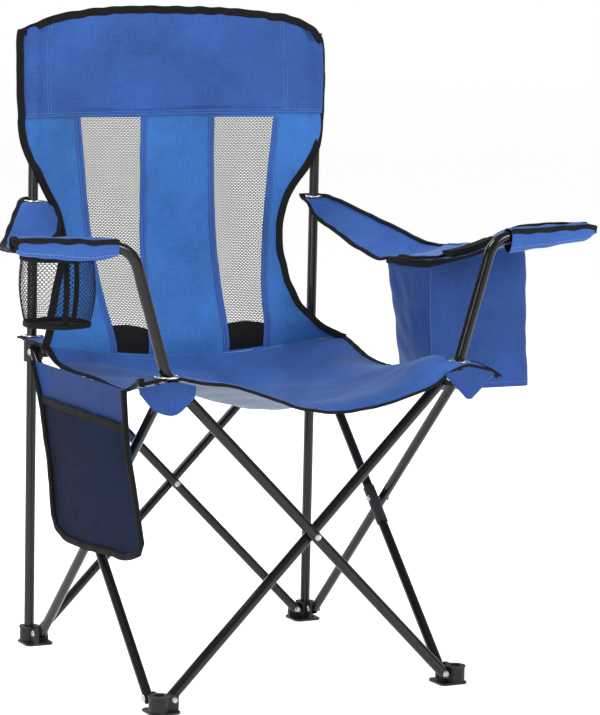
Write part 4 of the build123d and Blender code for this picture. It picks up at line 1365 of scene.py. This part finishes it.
pocket_net = net(
    "pocket_net", pocket_place, 322, 186, slot="black_mesh", cell=5.6, row=2.6, bar=0.42, thick=0.5,
    inside=lambda a, b: (b > 2) & (b < 187), **POCKET,
)
mouth = outer_panel[0].copy()
mouth[:, 0] -= 0.4
binding("pocket_mouth_binding", mouth, (0, 0, -1.0), width=11, half=1.5, seed=113, **POCKET)
edge = np.vstack([inner_panel[:, 0], inner_panel[-1, 1:-1], inner_panel[::-1, -1]])
edge = resample(edge, 200)
edge[:, 0] = -248.0
binding(
    "pocket_binding", edge, unit(np.array([-248, -30, 300]) - edge), width=9.5, half=3.2, seed=114,
    **POCKET,
)

# --- stage, lights, camera ---
RINGS = [(3, 0), (8, 0), (14, 0), (18, 0.03), (21, 0.25), (23, 0.8), (24, 1.8), (24.2, 2.6)]
SPOKES = 96
turn = np.linspace(0, 2 * math.pi, SPOKES, endpoint=False)
points = [(r * math.cos(t), r * math.sin(t), h) for r, h in RINGS for t in turn]
quads = ring_faces(len(RINGS), SPOKES)
quads.append(tuple(range(SPOKES)))
floor_mesh = bpy.data.meshes.new("floor")
floor_mesh.from_pydata(points, [], quads)
floor_mesh.polygons.foreach_set("use_smooth", [True] * len(floor_mesh.polygons))
floor = bpy.data.objects.new("floor", floor_mesh)
bpy.context.scene.collection.objects.link(floor)
paper = Shader(
    "white_floor", Base_Color=(0.8, 0.8, 0.8, 1), Roughness=0.9, Emission_Color=(1, 1, 1, 1),
    Emission_Strength=0.66,
)
grain = paper.noise(paper.add("ShaderNodeTexCoord").outputs["Object"], 40.0)
paper.bump(grain, 0.02, 0.0005)
floor_mesh.materials.append(paper.mat)

world = bpy.data.worlds.new("studio")
bpy.context.scene.world = world
world.use_nodes = True
world.node_tree.nodes["Background"].inputs["Color"].default_value = (1, 1, 1, 1)
world.node_tree.nodes["Background"].inputs["Strength"].default_value = 0.36


def area_light(name, place, aim, size, energy, tall=None):
    data = bpy.data.lights.new(name, "AREA")
    data.shape = "RECTANGLE"
    data.size, data.size_y = size, tall or size
    data.energy = energy
    obj = bpy.data.objects.new(name, data)
    obj.location = place
    obj.rotation_mode = "QUATERNION"
    obj.rotation_quaternion = (Vector(aim) - Vector(place)).to_track_quat("-Z", "Y")
    bpy.context.scene.collection.objects.link(obj)


area_light("key", (1.7, -3.4, 2.3), (0, 0, 0.5), 1.4, 90)
area_light("top", (-1.5, 0.3, 3.2), (0, 0, 0.4), 1.2, 60)
area_light("back", (-0.4, 3.2, 2.0), (0, 0, 0.5), 1.8, 55)
area_light("strip_left", (-3.2, -2.3, 1.1), (0, 0, 0.5), 0.16, 40, 2.4)

AZIMUTH, ELEVATION, ROLL = math.radians(-27.55), math.radians(7.35), math.radians(1.22)
TARGET = Vector((0.09135, 0.0, 0.4351))
DISTANCE = 4.1366
away = Vector(
    (
        math.sin(AZIMUTH) * math.cos(ELEVATION), -math.cos(AZIMUTH) * math.cos(ELEVATION),
        math.sin(ELEVATION),
    )
)
across = Vector((math.cos(AZIMUTH), math.sin(AZIMUTH), 0))
upward = away.cross(across)
side = across * math.cos(ROLL) + upward * math.sin(ROLL)
top_side = -across * math.sin(ROLL) + upward * math.cos(ROLL)
cam_data = bpy.data.cameras.new("camera")
cam_data.lens = 146.15
cam_data.sensor_width = 36.0
cam_data.clip_end = 200.0
cam = bpy.data.objects.new("camera", cam_data)
bpy.context.scene.collection.objects.link(cam)
cam.matrix_world = Matrix((
    (side.x, top_side.x, away.x, TARGET.x + away.x * DISTANCE),
    (side.y, top_side.y, away.y, TARGET.y + away.y * DISTANCE),
    (side.z, top_side.z, away.z, TARGET.z + away.z * DISTANCE),
    (0, 0, 0, 1),
))
bpy.context.scene.camera = cam
bpy.context.scene.view_settings.view_transform = "Standard"
